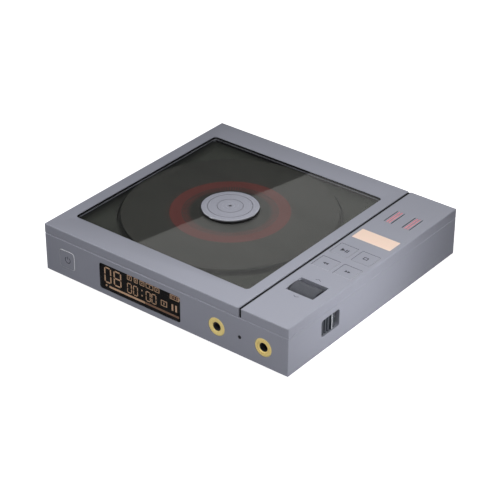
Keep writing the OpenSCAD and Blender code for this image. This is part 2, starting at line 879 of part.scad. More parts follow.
module shield_can() {
    can_low = [board_left + 6, from_front(60), board_top];
    can_high = [board_left + 26, from_front(95), board_top + 2.5];
    can_wall = 0.3;
    color("silver") difference() {
        block(can_low, can_high);
        block(can_low + [can_wall, can_wall, -1], can_high - [can_wall, can_wall, can_wall]);
    }
}

// Charging socket at the rear edge of the board, with its contact tongue.
module usb_port() {
    r = usb_h / 2 - eps;
    shell = 0.35;
    y1 = back - usb_inset;
    color("silver") {
        difference() {
            rounded_front_block([usb_x - usb_w / 2, y1 - usb_d, board_top],
                                [usb_x + usb_w / 2, y1, board_top + usb_h], r);
            rounded_front_block([usb_x - usb_w / 2 + shell, y1 - usb_d + 1, board_top + shell],
                                [usb_x + usb_w / 2 - shell, y1 + 1, board_top + usb_h - shell],
                                r - shell);
        }
        block([usb_x - 3.3, y1 - usb_d + 1 - eps, board_top + usb_h / 2 - 0.35],
              [usb_x + 3.3, y1 - 1, board_top + usb_h / 2 + 0.35]);
    }
}

module battery() {
    x0 = left + wall_t + 3.4;
    z0 = base_z + base_t;
    color("steelblue")
        rounded_front_block([x0, from_front(30), z0], [x0 + battery_w, from_front(30) + battery_d,
                                                       z0 + battery_t], 1.5);
}

module key_board() {
    color("darkgreen") difference() {
        block([control_x - key_board_half_w, key_cy - key_board_half_d, key_board_top - key_board_t],
              [control_x + key_board_half_w, key_cy + key_board_half_d, key_board_top]);
        for (xy = key_screws)
            rod_z(spot(xy, key_board_top - key_board_t - 1), screw_r, key_board_t + 2);
    }
}

module key_switches() {
    color("dimgray") for (at = key_spots) difference() {
        block([at[0] - switch_s / 2, at[1] - switch_s / 2, key_board_top],
              [at[0] + switch_s / 2, at[1] + switch_s / 2, switch_top]);
        rod_z(spot(at, key_stem_low - key_travel - 0.1), key_stem_r + stem_clear, switch_h);
    }
}

// The encoder stands on the main board, and its two ears hold the roller's shaft.
module volume_encoder() {
    ear_x = roller_w / 2 + 0.5;
    floor_z = roller_z - roller_r - 1;
    color("dimgray") {
        block([control_x - ear_x - ear_t, roller_cy - encoder_half_d, board_top],
              [control_x + ear_x + ear_t, roller_cy + encoder_half_d, floor_z]);
        for (x = [control_x - ear_x - ear_t, control_x + ear_x])
            block([x, roller_cy - ear_half, floor_z - eps],
                  [x + ear_t, roller_cy + ear_half, roller_z + ear_half]);
        rod_x([control_x - ear_x - eps, roller_cy, roller_z], axle_r, 2 * (ear_x + eps));
    }
}

// A knurled roller: a ribbed barrel with bevelled ends.
module volume_roller() {
    half = roller_w / 2;
    step = 360 / roller_ribs;
    barrel_r = roller_r + slip;
    ribbed_outline = [for (i = [0 : roller_ribs - 1], tip = [0, 1])
        let (r = roller_r - (1 - tip) * rib_depth, a = (i + tip / 2) * step)
        [r * cos(a), r * sin(a)]];
    color("slategray") translate([control_x, roller_cy, roller_z]) rotate([0, 90, 0]) difference() {
        intersection() {
            translate([0, 0, -half]) linear_extrude(roller_w) polygon(ribbed_outline);
            rotate_extrude()
                polygon([[0, -half], [barrel_r - roller_edge, -half], [barrel_r, roller_edge - half],
                         [barrel_r, half - roller_edge], [barrel_r - roller_edge, half], [0, half]]);
        }
        translate([0, 0, -half - 1]) cylinder(r = axle_r + slip, h = roller_w + 2);
    }
}

// A key with a flange under the strip's skin and a stem into its switch.
module key(at) {
    rounded_block([at[0] - key_w / 2, at[1] - key_d / 2, key_low],
                  [at[0] + key_w / 2, at[1] + key_d / 2, top_z], key_r - slip);
    rounded_block([at[0] - key_w / 2 - key_flange, at[1] - key_d / 2 - key_flange, key_low],
                  [at[0] + key_w / 2 + key_flange, at[1] + key_d / 2 + key_flange,
                   key_low + key_flange_t], key_r);
    rod_z(spot(at, key_stem_low), key_stem_r, key_low - key_stem_low + eps);
}

module key_play() {
    color("lightsteelblue") key(key_spots[0]);
}

module key_stop() {
    color("lightsteelblue") key(key_spots[1]);
}

module key_previous() {
    color("lightsteelblue") key(key_spots[2]);
}

module key_next() {
    color("lightsteelblue") key(key_spots[3]);
}

// Power button in the front wall, with a flange behind the wall and a stem.
module power_button() {
    half = power_s / 2 - fit_gap;
    color("lightsteelblue") {
        rounded_front_block([power_cx - half, front, front_mid - half],
                            [power_cx + half, power_y + eps, front_mid + half], power_r - fit_gap);
        rounded_front_block([power_cx - half - 1, front + wall_t + slip, front_mid - half - 1],
                            [power_cx + half + 1, power_y + power_flange_t, front_mid + half + 1],
                            power_r);
        rod_y([power_cx, power_y, front_mid], power_stem_r, power_switch_y - power_y + 0.8);
    }
}

// The switch behind the power button stands on the bottom cover.
module power_switch() {
    half = 4;
    depth = 7;
    color("dimgray") difference() {
        block([power_cx - half, power_switch_y, base_z + base_t],
              [power_cx + half, power_switch_y + depth, front_mid + half]);
        rod_y([power_cx, power_switch_y - 1, front_mid], power_stem_r + stem_clear,
              1 + 0.8 + key_travel + 0.2);
    }
}

// Hold slider in the right wall: a ribbed face in the opening and a flange behind it.
module hold_slider() {
    y0 = hold_cy - hold_len / 2 + hold_front_gap;
    y1 = y0 + hold_slider_len;
    half = hold_h / 2 - hold_side_gap;
    rib_pitch = hold_slider_len / hold_ribs;
    color("slategray") {
        block([hold_flange_x - hold_flange_t, y0 - 1, hold_z - half - 1],
              [hold_flange_x, y1 + 1, hold_z + half + 1]);
        rounded_side_block([hold_flange_x - eps, y0, hold_z - half],
                           [right - hold_inset - 0.6, y1, hold_z + half], hold_r);
        for (i = [0 : hold_ribs - 1])
            block([right - hold_inset - 0.6 - eps, y0 + i * rib_pitch + 0.3, hold_z - half],
                  [right - hold_inset + (i == 3 ? 0.6 : 0), y0 + i * rib_pitch + 1.5, hold_z + half]);
    }
}

module hold_switch_base() {
    color("dimgray")
        block([hold_base_x - hold_base_t, hold_cy - hold_len / 2, board_top],
              [hold_base_x, hold_cy + hold_len / 2, hold_z + hold_h / 2]);
}

// A flat cable from the drive to the main board, with a socket at each end.
module ribbon_cable() {
    x0 = disc_x + plate_half_w - 5;
    x1 = disc_x + plate_half_w;
    x2 = board_left + 1.5;
    x3 = board_left + 6;
    t = 0.3;
    y0 = from_front(104);
    y1 = y0 + 10;
    color("wheat") {
        bar_y(y0, y1, [[x0, plate_top], [x1 + 1, plate_top], [x2, board_top], [x3, board_top],
                       [x3, board_top + t], [x2 + t, board_top + t], [x1 + 1 + t, plate_top + t],
                       [x0, plate_top + t]]);
        block([x0 - 3, y0 - 1, plate_top], [x0 + eps, y1 + 1, plate_top + 1.6]);
        block([x3 - eps, y0 - 1, board_top], [x3 + 3, y1 + 1, board_top + 1.6]);
    }
}

// Deck: a plate with a round well for the disc and a slot for the pickup.
module deck() {
    edge = wall_t + fit_gap;
    color("honeydew") difference() {
        union() {
            block([left + edge, front + edge, deck_low], [deck_right, back - edge, split_z]);
            rod_z([disc_x, 0, well_low], well_r + well_wall, split_z - well_low - eps);
            for (xy = post_spots)
                rod_z(spot(xy, plate_top + damper_lip), post_r, (xy[1] < 0 ? well_low : deck_low)
                      - plate_top - damper_lip + eps);
        }
        rod_z([disc_x, 0, well_floor], well_r, split_z);
        rod_z([disc_x, 0, well_low - 1], turntable_r + 1.5, split_z);
        pickup_slot();
        for (xy = deck_screws) {
            rod_z(spot(xy, deck_low - 1), screw_r, deck_t + 2);
            rod_z(spot(xy, split_z - screw_head_h), screw_head_r + fit_gap, screw_head_h + 1);
        }
        for (xy = post_spots)
            rod_z(spot(xy, plate_top), screw_r, damper_lip + short_screw_len - 1);
        for (x = hinge_xs)
            block([x - leaf_half - 2 - air_gap, back - wall_t - shelf_d - air_gap, well_low - 1],
                  [x + leaf_half + 2 + air_gap, back, split_z + 1]);
    }
}

// The slot through the well that the pickup's tower travels in.
module pickup_slot() {
    half = tower_half_w + 1.2;
    block([disc_x - half, lens_inner - tower_half_d - 1, well_low - 1],
          [disc_x + half, lens_inner + sled_travel + tower_half_d + 1, split_z + 1]);
}

// A felt ring at the foot of the well's wall, open where the pickup travels.
module well_felt() {
    color("black") difference() {
        ring([disc_x, 0, well_floor], well_r - slip, well_r - felt_w, felt_t);
        pickup_slot();
    }
}

// Drive: mounting plate on four rubber dampers, hung from the deck's posts.
module drive_plate() {
    color("silver") difference() {
        union() {
            block([disc_x - plate_half_w, plate_front, plate_low],
                  [disc_x + plate_half_w, plate_back, plate_top]);
            for (side = [-1, 1], y = [rod_start, rod_end - rod_block])
                block([disc_x + side * rod_spread - rod_r - 1, y, plate_top - eps],
                      [disc_x + side * rod_spread + rod_r + 1, y + rod_block, rod_z + rod_r + 0.3]);
            block([screw_x - 3, leadscrew_end, screw_z - 3], [screw_x + 3, leadscrew_end + 2.5,
                                                             plate_low + eps]);
        }
        block([disc_x - opening_half_w, rod_start + rod_block + 0.5, plate_low - 1],
              [disc_x + opening_half_w, rod_end - rod_block - 0.5, plate_top + 1]);
        block([disc_x, rod_start + rod_block + 0.5, plate_low - 1],
              [screw_x + arm_w / 2 + 1, leadscrew_end - 1.5, plate_top + 1]);
        rod_z([disc_x, 0, plate_low - 1], stem_r + 1, plate_t + 2);
        for (xy = post_spots)
            rod_z(spot(xy, plate_low - 1), damper_neck_r, plate_t + 2);
        for (side = [-1, 1])
            rod_y([disc_x + side * rod_spread, rod_start - 1, rod_z], rod_r, rod_end - rod_start + 2);
        rod_y([screw_x, leadscrew_end - 1, screw_z], leadscrew_r + slip - thread_depth, 5);
    }
}

module drive_dampers() {
    color("black") for (xy = post_spots)
        translate(spot(xy, plate_low - damper_lip)) rotate_extrude()
            polygon([[screw_r, 0], [damper_r, 0], [damper_r, damper_lip], [damper_neck_r, damper_lip],
                     [damper_neck_r, damper_lip + plate_t], [damper_r, damper_lip + plate_t],
                     [damper_r, damper_h], [screw_r, damper_h]]);
}

module spindle_motor() {
    color("silver") difference() {
        union() {
            rod_z([disc_x, 0, plate_low - motor_h], motor_r, motor_h);
            rod_z([disc_x, 0, plate_low - eps], stem_r + 1, plate_t);
        }
        rod_z([disc_x, 0, plate_low - motor_h + 1], shaft_r + slip, motor_h + plate_t + 1);
    }
}

// The small motor that turns the leadscrew sits under the plate.
module sled_motor() {
    y0 = leadscrew_start - sled_motor_len;
    color("silver") difference() {
        union() {
            rod_y([screw_x, y0, screw_z], sled_motor_r, sled_motor_len);
            block([screw_x - sled_motor_r, y0, screw_z],
                  [screw_x + sled_motor_r, y0 + sled_motor_len, plate_low]);
        }
        rod_y([screw_x, y0 + 2, screw_z], leadscrew_r - thread_depth + slip, sled_motor_len);
    }
}

module leadscrew() {
    core_r = leadscrew_r - thread_depth;
    y0 = leadscrew_start - sled_motor_len + 2.2;
    threads = floor((leadscrew_end - leadscrew_start - 1) / (thread_pitch / 2));
    color("silver") {
        rod_y([screw_x, y0, screw_z], core_r, leadscrew_end + 2.4 - y0);
        for (i = [0 : threads - 1])
            rod_y([screw_x, leadscrew_start + 0.5 + i * thread_pitch / 2, screw_z], leadscrew_r,
                  thread_pitch / 4);
    }
}

module guide_rods() {
    color("silver") for (side = [-1, 1])
        rod_y([disc_x + side * rod_spread, rod_start, rod_z], rod_r, rod_end - rod_start);
}

// Pickup: bushes on the rods, an optical block below the plate, a tower with the lens above.
module pickup_sled() {
    color("dimgray") difference() {
        union() {
            block([disc_x - sled_half_w, lens_inner - sled_half_d, sled_low],
                  [disc_x + sled_half_w, lens_inner + sled_half_d, sled_top]);
            block([disc_x - tower_half_w, lens_inner - tower_half_d, sled_top - eps],
                  [disc_x + tower_half_w, lens_inner + tower_half_d, tower_top]);
            block([disc_x - optics_half_w, lens_inner - tower_half_d, sled_low - optics_drop],
                  [disc_x + optics_half_w, lens_inner + tower_half_d, sled_low + eps]);
            block([screw_x - arm_w / 2, arm_y - arm_d / 2, screw_z + leadscrew_r + air_gap],
                  [screw_x + arm_w / 2, arm_y + arm_d / 2, sled_low + eps]);
        }
        for (side = [-1, 1])
            rod_y([disc_x + side * rod_spread, lens_inner - sled_half_d - 1, rod_z], rod_r + slip,
                  2 * sled_half_d + 2);
        rod_z([disc_x, lens_inner, lens_top - lens_h - lens_play - 0.2], lens_r + lens_gap, 10);
    }
}

module pickup_lens() {
    color("lightcyan", 0.6) translate([disc_x, lens_inner, lens_top - lens_h]) rotate_extrude()
        polygon([[0, 0], [lens_r, 0], [lens_r, lens_h - 0.4], [lens_r - 0.4, lens_h], [0, lens_h]]);
}

// Turntable: hub with its shaft, steel insert for the clamp, rubber mat and disc.
module turntable_hub() {
    low = turntable_top - turntable_t;
    color("dimgray") difference() {
        union() {
            rod_z([disc_x, 0, plate_low - motor_h + 1.2], shaft_r, motor_h + plate_t);
            rod_z([disc_x, 0, plate_top + air_gap], stem_r, low - plate_top);
            rod_z([disc_x, 0, low], turntable_r, turntable_t);
            translate([disc_x, 0, turntable_top - eps]) rotate_extrude()
                polygon([[0, 0], [boss_r, 0], [boss_r, boss_top - turntable_top - 0.5],
                         [boss_r - 0.8, boss_top - turntable_top], [0, boss_top - turntable_top]]);
        }
        rod_z([disc_x, 0, boss_top - insert_t], insert_r, insert_t + 1);
    }
}

module turntable_plate() {
    color("silver") rod_z([disc_x, 0, boss_top - insert_t], insert_r, insert_t);
}

module turntable_mat() {
    color("black") ring([disc_x, 0, turntable_top], turntable_r, mat_inner, mat_t);
}

module disc() {
    color("dimgray") ring([disc_x, 0, disc_low], disc_r, disc_hole_r, disc_t);
}

// Clamp: it hangs in the glass with its lid and turns with the disc.
module clamp_cap() {
    color("lightgray") translate([disc_x, 0, 0]) rotate_extrude()
        polygon([[0, cap_low - spigot_h], [spigot_r, cap_low - spigot_h], [spigot_r, cap_low],
                 [cap_r - cap_edge / 2, cap_low], [cap_r, cap_low + cap_edge / 2],
                 [cap_r, cap_top - cap_edge], [cap_r - cap_edge, cap_top], [0, cap_top]]);
}

module clamp_hub() {
    low = pad_low + pad_t;
    color("dimgray") difference() {
        translate([disc_x, 0, 0]) rotate_extrude()
            polygon([[0, low], [flange_r, low], [flange_r, low + flange_t], [hub_r, low + flange_t],
                     [hub_r, cap_low], [0, cap_low]]);
        rod_z([disc_x, 0, low - 1], clamp_magnet_r, 1 + clamp_magnet_h);
        rod_z([disc_x, 0, cap_low - spigot_h], spigot_r, 2);
    }
}

module clamp_magnet() {
    color("gray") rod_z([disc_x, 0, pad_low + pad_t], clamp_magnet_r, clamp_magnet_h);
}

module clamp_pad() {
    color("black") ring([disc_x, 0, pad_low], flange_r - 0.5, pad_inner, pad_t);
}

// Lid: a frame round the window, with magnets at the front and hinges at the back.
module lid_frame() {
    low = split_z + lid_gap;
    color("lightsteelblue") difference() {
        chamfered_block([left, front, low], [lid_right, back, top_z], edge_c);
        rounded_block([window_x - window_w / 2, -window_d / 2, ledge_top],
                      [window_x + window_w / 2, window_d / 2, top_z + 1], window_r);
        rounded_block([window_x - window_w / 2 + ledge_w, ledge_w - window_d / 2, low - 1],
                      [window_x + window_w / 2 - ledge_w, window_d / 2 - ledge_w, top_z + 1],
                      window_r - ledge_w + 0.2);
        rounded_block([cavity_left, -cavity_half_d, low - 1], [cavity_right, cavity_half_d, ledge_low],
                      window_r);
        rear_lid_bevel();
        for (x = hinge_xs) {
            rod_x([x - leaf_half - air_gap, hinge_y, split_z], pocket_r, hinge_len + 2 * air_gap);
            block([x - leaf_half, hinge_y - leaf_d, low - 1], [x + leaf_half, hinge_y, low + leaf_t]);
            for (side = [-1, 1])
                rod_z([x + side * leaf_screw_x, leaf_screw_y, low], screw_r, leaf_t + leaf_screw_len);
        }
        for (xy = magnet_spots)
            rod_z(spot(xy, low - 1), magnet_r, 1 + magnet_t);
    }
}

// The rear lower edge of the lid slopes away from the hinge axis.
module rear_lid_bevel() {
    reach = hinge_inset + 1;
    bar_x(left - 1, lid_right + 1, [[hinge_y, split_z], [hinge_y, split_z - 1],
                                    [hinge_y + reach, split_z - 1],
                                    [hinge_y + reach, split_z + reach]]);
}

module lid_window() {
    color("dimgray", 0.5) difference() {
        rounded_block([window_x - window_w / 2 + slip, slip - window_d / 2, glass_low],
                      [window_x + window_w / 2 - slip, window_d / 2 - slip, glass_top], window_r);
        rod_z([disc_x, 0, glass_low - 1], hub_r + hole_gap, glass_t + 2);
    }
}

// A strip of black tape that holds the glass on its ledge.
module window_tape() {
    color("black") difference() {
        rounded_block([window_x - window_w / 2 + slip, slip - window_d / 2, ledge_top],
                      [window_x + window_w / 2 - slip, window_d / 2 - slip, glass_low], window_r);
        rounded_block([window_x - window_w / 2 + ledge_w, ledge_w - window_d / 2, ledge_top - 1],
                      [window_x + window_w / 2 - ledge_w, window_d / 2 - ledge_w, glass_low + 1],
                      window_r - ledge_w + 0.2);
    }
}

module lid_magnets() {
    color("gray") for (xy = magnet_spots)
        rod_z(spot(xy, split_z + lid_gap), magnet_r, magnet_t);
}

module case_magnets() {
    color("gray") for (xy = magnet_spots)
        rod_z(spot(xy, deck_low - magnet_t), magnet_r, magnet_t);
}

// Hinges: the lid's leaf holds the middle knuckle, the case's leaf the outer two.
module hinge_leaf(x, low, inner_len, outer, bore_r) {
    gap = knuckle_r + air_gap;
    half = inner_len / 2 + (outer ? knuckle_gap : 0);
    difference() {
        union() {
            block([x - leaf_half, hinge_y - leaf_d, low], [x + leaf_half, hinge_y - gap, low + leaf_t]);
            if (outer) {
                for (side = [-1, 1])
                    knuckle(x + side * (half + leaf_half) / 2, leaf_half - half, low);
            } else {
                knuckle(x, inner_len, low);
            }
        }
        rod_x([x - leaf_half - 1, hinge_y, split_z], bore_r, hinge_len + 2);
        for (side = [-1, 1])
            rod_z([x + side * leaf_screw_x, leaf_screw_y, low - 1], screw_r, leaf_t + 2);
        for (side = [-1, 1])
            rod_z([x + side * leaf_screw_x, leaf_screw_y, outer ? low + leaf_t - leaf_sink : low - 1],
                  screw_head_r, leaf_sink + 1);
    }
}

// One knuckle centred at x, with the strip that joins it to its leaf.
module knuckle(x, len, low) {
    rod_x([x - len / 2, hinge_y, split_z], knuckle_r, len);
    block([x - len / 2, hinge_y - knuckle_r - air_gap - eps, low], [x + len / 2, hinge_y, low + leaf_t]);
}

module hinge_case_leaves() {
    color("silver") for (x = hinge_xs)
        hinge_leaf(x, split_z - lid_gap - leaf_t, lid_knuckle_len, true, pin_r);
}

module hinge_lid_leaves() {
    color("silver") for (x = hinge_xs)
        hinge_leaf(x, split_z + lid_gap, lid_knuckle_len, false, pin_r + slip);
}

module hinge_pins() {
    color("silver") for (x = hinge_xs)
        rod_x([x - leaf_half, hinge_y, split_z], pin_r, hinge_len);
}

module lid_screws() {
    color("silver") for (x = hinge_xs, side = [-1, 1])
        leaf_screw([x + side * leaf_screw_x, leaf_screw_y, split_z + lid_gap], up = true);
}

case_frame();
bottom_cover();
feet();
case_screws();
control_panel();
badge_plate();
valve_envelopes();
valve_electrodes();
valve_rests();
display_window();
display_module();
small_jack();
small_jack_ring();
large_jack();
large_jack_ring();
light_pipe();
main_board();
shield_can();
usb_port();
battery();
key_board();
key_switches();
volume_encoder();
hold_switch_base();
power_switch();
ribbon_cable();
deck();
well_felt();
drive_plate();
drive_dampers();
spindle_motor();
sled_motor();
guide_rods();
case_magnets();
hinge_case_leaves();
hinge_pins();
lid_frame();
lid_window();
window_tape();
lid_magnets();
hinge_lid_leaves();
lid_screws();
clamp_cap();
clamp_hub();
clamp_magnet();
clamp_pad();
turntable_hub();
turntable_plate();
turntable_mat();
disc();
leadscrew();
pickup_sled();
pickup_lens();
power_button();
key_play();
key_stop();
key_previous();
key_next();
volume_roller();
hold_slider();
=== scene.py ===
"""Finishes, fine pieces, light and camera for the slim flat disc player, round its CAD frame."""

import json
import math

import bmesh
import bpy
from mathutils import Matrix, Vector


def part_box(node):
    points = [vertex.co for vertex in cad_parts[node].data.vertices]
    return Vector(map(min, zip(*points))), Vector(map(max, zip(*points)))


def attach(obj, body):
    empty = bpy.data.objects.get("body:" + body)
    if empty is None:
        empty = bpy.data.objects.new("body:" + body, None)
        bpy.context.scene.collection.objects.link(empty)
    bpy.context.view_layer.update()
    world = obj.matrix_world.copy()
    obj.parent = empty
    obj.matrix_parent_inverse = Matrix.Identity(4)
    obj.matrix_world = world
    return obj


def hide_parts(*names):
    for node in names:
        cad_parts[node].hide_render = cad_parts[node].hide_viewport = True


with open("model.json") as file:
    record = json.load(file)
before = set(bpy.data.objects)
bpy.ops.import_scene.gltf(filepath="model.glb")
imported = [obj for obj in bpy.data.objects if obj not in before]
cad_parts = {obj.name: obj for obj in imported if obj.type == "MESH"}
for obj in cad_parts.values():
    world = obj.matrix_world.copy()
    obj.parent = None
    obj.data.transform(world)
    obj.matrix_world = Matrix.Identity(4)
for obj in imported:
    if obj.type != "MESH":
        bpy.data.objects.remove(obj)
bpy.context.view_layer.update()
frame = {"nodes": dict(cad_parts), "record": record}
NODES = frame["nodes"]
MM = 0.001
SMOOTH_ANGLE = math.radians(32)


# Node helpers
def feed(tree, node, inputs):
    """Sets or links a node's inputs: each is a number, a colour or another node's socket."""
    for key, value in inputs.items():
        if isinstance(value, bpy.types.NodeSocket):
            tree.links.new(value, node.inputs[key])
        else:
            node.inputs[key].default_value = value


def add(tree, kind, inputs=None, **settings):
    """A shader node with its settings and inputs."""
    node = tree.nodes.new(kind)
    for key, value in settings.items():
        setattr(node, key, value)
    feed(tree, node, inputs or {})
    return node


def math_node(tree, operation, first, second=0.0, third=0.0, clamp=False):
    """A sum or function of values; the third one counts only in MULTIPLY_ADD."""
    inputs = {0: first, 1: second, 2: third}
    return add(tree, "ShaderNodeMath", inputs, operation=operation, use_clamp=clamp).outputs[0]


def times(tree, first, second):
    return math_node(tree, "MULTIPLY", first, second)


def wave(tree, value, rate):
    return math_node(tree, "SINE", times(tree, value, rate))


def smooth_step(tree, value, low, high, out_low=0.0, out_high=1.0):
    node = add(
        tree,
        "ShaderNodeMapRange",
        {"Value": value, "From Min": low, "From Max": high, "To Min": out_low, "To Max": out_high},
        interpolation_type="SMOOTHSTEP",
    )
    return node.outputs["Result"]


def ramp(tree, share, low, high):
    """A value that runs straight from low to high with the share."""
    node = add(tree, "ShaderNodeMapRange", {"Value": share, "To Min": low, "To Max": high})
    return node.outputs["Result"]


def blend_colours(tree, share, first, second):
    return add(tree, "ShaderNodeMix", {0: share, 6: first, 7: second}, data_type="RGBA").outputs[2]


def stretch(tree, vector, factors):
    node = add(tree, "ShaderNodeVectorMath", {0: vector, 1: factors}, operation="MULTIPLY")
    return node.outputs[0]


def noise(tree, vector, scale, detail, roughness=0.5):
    inputs = {"Vector": vector, "Scale": scale, "Detail": detail, "Roughness": roughness}
    return add(tree, "ShaderNodeTexNoise", inputs).outputs[0]


def relief(tree, height, strength, depth):
    """A bump of a depth in metres, for a shader's normal."""
    node = add(tree, "ShaderNodeBump", {"Height": height, "Strength": strength, "Distance": depth})
    return node.outputs["Normal"]


def rgba(colour, factor=1.0):
    return tuple(min(1.0, c * factor) for c in colour) + (1.0,)


def new_group(name, inputs, outputs):
    """A shader node group with float and vector sockets."""
    group = bpy.data.node_groups.new(name, "ShaderNodeTree")
    kinds = {"float": "NodeSocketFloat", "vector": "NodeSocketVector"}
    for socket, kind, value in inputs:
        made = group.interface.new_socket(socket, in_out="INPUT", socket_type=kinds[kind])
        if value is not None:
            made.default_value = value
    for socket, kind in outputs:
        group.interface.new_socket(socket, in_out="OUTPUT", socket_type=kinds[kind])
    source = group.nodes.new("NodeGroupInput")
    sink = group.nodes.new("NodeGroupOutput")
    return group, source.outputs, sink.inputs


def put_group(tree, group, inputs):
    return add(tree, "ShaderNodeGroup", inputs, node_tree=group).outputs


# Shared effects
def make_grain_group():
    """Fine grain: a height for the bump, and slow and fine tone changes round one."""
    group, given, wanted = new_group(
        "fine_grain",
        [("Vector", "vector", None), ("Grain Size", "float", 0.0003), ("Cloud Size", "float", 0.02)],
        [("Height", "float"), ("Grain", "float"), ("Cloud", "float")],
    )
    grain_scale = math_node(group, "DIVIDE", 1.0, given["Grain Size"])
    cloud_scale = math_node(group, "DIVIDE", 1.0, given["Cloud Size"])
    fine = noise(group, given["Vector"], grain_scale, 2.0, 0.55)
    cloud = noise(group, given["Vector"], cloud_scale, 3.0)
    group.links.new(fine, wanted["Height"])
    group.links.new(smooth_step(group, fine, 0.3, 0.7), wanted["Grain"])
    group.links.new(smooth_step(group, cloud, 0.35, 0.65), wanted["Cloud"])
    return group


def make_turned_group():
    """Rings left by turning, round the z axis of the vector that is given."""
    group, given, wanted = new_group(
        "turned_rings",
        [("Vector", "vector", None), ("Pitch", "float", 0.0002)],
        [("Height", "float"), ("Radius", "float"), ("Angle", "float")],
    )
    flat = stretch(group, given["Vector"], (1, 1, 0))
    length = add(group, "ShaderNodeVectorMath", {0: flat}, operation="LENGTH")
    radius = length.outputs["Value"]
    parts = add(group, "ShaderNodeSeparateXYZ", {0: given["Vector"]})
    angle = math_node(group, "ARCTAN2", parts.outputs[1], parts.outputs[0])
    turns = math_node(group, "DIVIDE", radius, given["Pitch"])
    jitter = add(
        group, "ShaderNodeTexNoise", {"W": turns, "Scale": 0.9, "Detail": 2.0}, noise_dimensions="1D"
    )
    group.links.new(jitter.outputs[0], wanted["Height"])
    group.links.new(radius, wanted["Radius"])
    group.links.new(angle, wanted["Angle"])
    return group


def make_dust_group():
    """Sparse specks and faint wipe marks."""
    group, given, wanted = new_group(
        "dust_and_wipes",
        [("Vector", "vector", None), ("Speck Size", "float", 0.0015)],
        [("Specks", "float"), ("Wipes", "float")],
    )
    scale = math_node(group, "DIVIDE", 1.0, given["Speck Size"])
    cells = add(group, "ShaderNodeTexVoronoi", {"Vector": given["Vector"], "Scale": scale})
    wipes = noise(group, stretch(group, given["Vector"], WIPE_STRETCH), 1.0, 2.0)
    group.links.new(smooth_step(group, cells.outputs["Distance"], 0.09, 0.02), wanted["Specks"])
    group.links.new(smooth_step(group, wipes, 0.45, 0.75), wanted["Wipes"])
    return group


WIPE_STRETCH = (9, 70, 30)
GRAIN = make_grain_group()
TURNED = make_turned_group()
DUST = make_dust_group()


def grain_marks(tree, place, grain, cloud):
    return put_group(tree, GRAIN, {"Vector": place, "Grain Size": grain, "Cloud Size": cloud})


def turned_marks(tree, place, centre, pitch, turn=(0, 0, 0)):
    """The rings' height, radius and angle round an axis through centre."""
    moved = add(tree, "ShaderNodeMapping", {"Vector": place, "Location": tuple(-Vector(centre))})
    aligned = add(tree, "ShaderNodeMapping", {"Vector": moved.outputs[0], "Rotation": turn})
    return put_group(tree, TURNED, {"Vector": aligned.outputs[0], "Pitch": pitch})


def start_material(name):
    material = bpy.data.materials.new(name)
    material.use_nodes = True
    tree = material.node_tree
    tree.nodes.clear()
    output = add(tree, "ShaderNodeOutputMaterial")
    shader = add(tree, "ShaderNodeBsdfPrincipled")
    tree.links.new(shader.outputs[0], output.inputs["Surface"])
    place = add(tree, "ShaderNodeTexCoord").outputs["Object"]
    return material, tree, shader, place


GRAIN_SHARE = 0.45


def grained(
    name,
    colour,
    tone=0.06,
    metallic=0.0,
    rough=0.5,
    rough_spread=0.06,
    grain=0.0003,
    cloud=0.03,
    bump=0.1,
    depth=0.00002,
    second=None,
    **plain,
):
    """A finish with fine grain in its colour, roughness and bump. Plain numbers go on the shader."""
    material, tree, shader, place = start_material(name)
    marks = grain_marks(tree, place, grain, cloud)
    dark = rgba(second or colour, 1 - tone)
    fine = times(tree, marks["Grain"], GRAIN_SHARE)
    slow = times(tree, marks["Cloud"], 1 - GRAIN_SHARE)
    share = math_node(tree, "ADD", fine, slow, clamp=True)
    feed(
        tree,
        shader,
        {
            "Base Color": blend_colours(tree, share, dark, rgba(colour, 1 + tone)),
            "Roughness": ramp(tree, share, rough - rough_spread, rough + rough_spread),
            "Metallic": metallic,
            "Normal": relief(tree, marks["Height"], bump, depth),
        },
    )
    for key, value in plain.items():
        shader.inputs[key.replace("_", " ").title().replace("Ior", "IOR")].default_value = value
    return material


TURN_PITCH = 0.15 * MM
TURN_DEPTH = 0.01 * MM


def turned(name, colour, centre, axis="Z", metallic=1.0, rough=0.25, rings=0.15):
    """A lathe-turned finish: fine rings round an axis through centre."""
    material, tree, shader, place = start_material(name)
    turn = {"Z": (0, 0, 0), "Y": (math.pi / 2, 0, 0), "X": (0, math.pi / 2, 0)}[axis]
    height = turned_marks(tree, place, centre, TURN_PITCH, turn)["Height"]
    feed(
        tree,
        shader,
        {
            "Base Color": blend_colours(tree, height, rgba(colour, 0.92), rgba(colour, 1.05)),
            "Roughness": ramp(tree, height, rough * 0.8, rough * 1.2),
            "Metallic": metallic,
            "Normal": relief(tree, height, rings, TURN_DEPTH),
        },
    )
    return material


# Places taken from the frame
def centre_of(node):
    low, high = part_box(node)
    return (low + high) / 2


body_low, body_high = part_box("case_frame")
LEFT, RIGHT = body_low.x, body_high.x
FRONT, BACK = body_low.y, body_high.y
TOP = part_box("lid_frame")[1].z
SPLIT = body_high.z
DISC_LOW, DISC_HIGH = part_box("disc")
AXIS = centre_of("disc")
WINDOW_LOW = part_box("lid_window")[0]
KEYS = {name: centre_of(name) for name in ("key_play", "key_stop", "key_previous", "key_next")}
ROLLER_LOW, ROLLER_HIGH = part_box("volume_roller")
ROLLER = (ROLLER_LOW + ROLLER_HIGH) / 2
CONTROL_X = ROLLER.x
POWER = centre_of("power_button")
DISPLAY_LOW, DISPLAY_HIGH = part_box("display_window")
SMALL_JACK = centre_of("small_jack_ring")
LARGE_JACK = centre_of("large_jack_ring")
HOLD_LOW, HOLD_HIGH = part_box("hold_slider")

# Finishes
BODY_TONE = (0.378, 0.388, 0.453)
METAL_DEPTH = 0.000012
GOLD_TONE = (0.98, 0.77, 0.30)


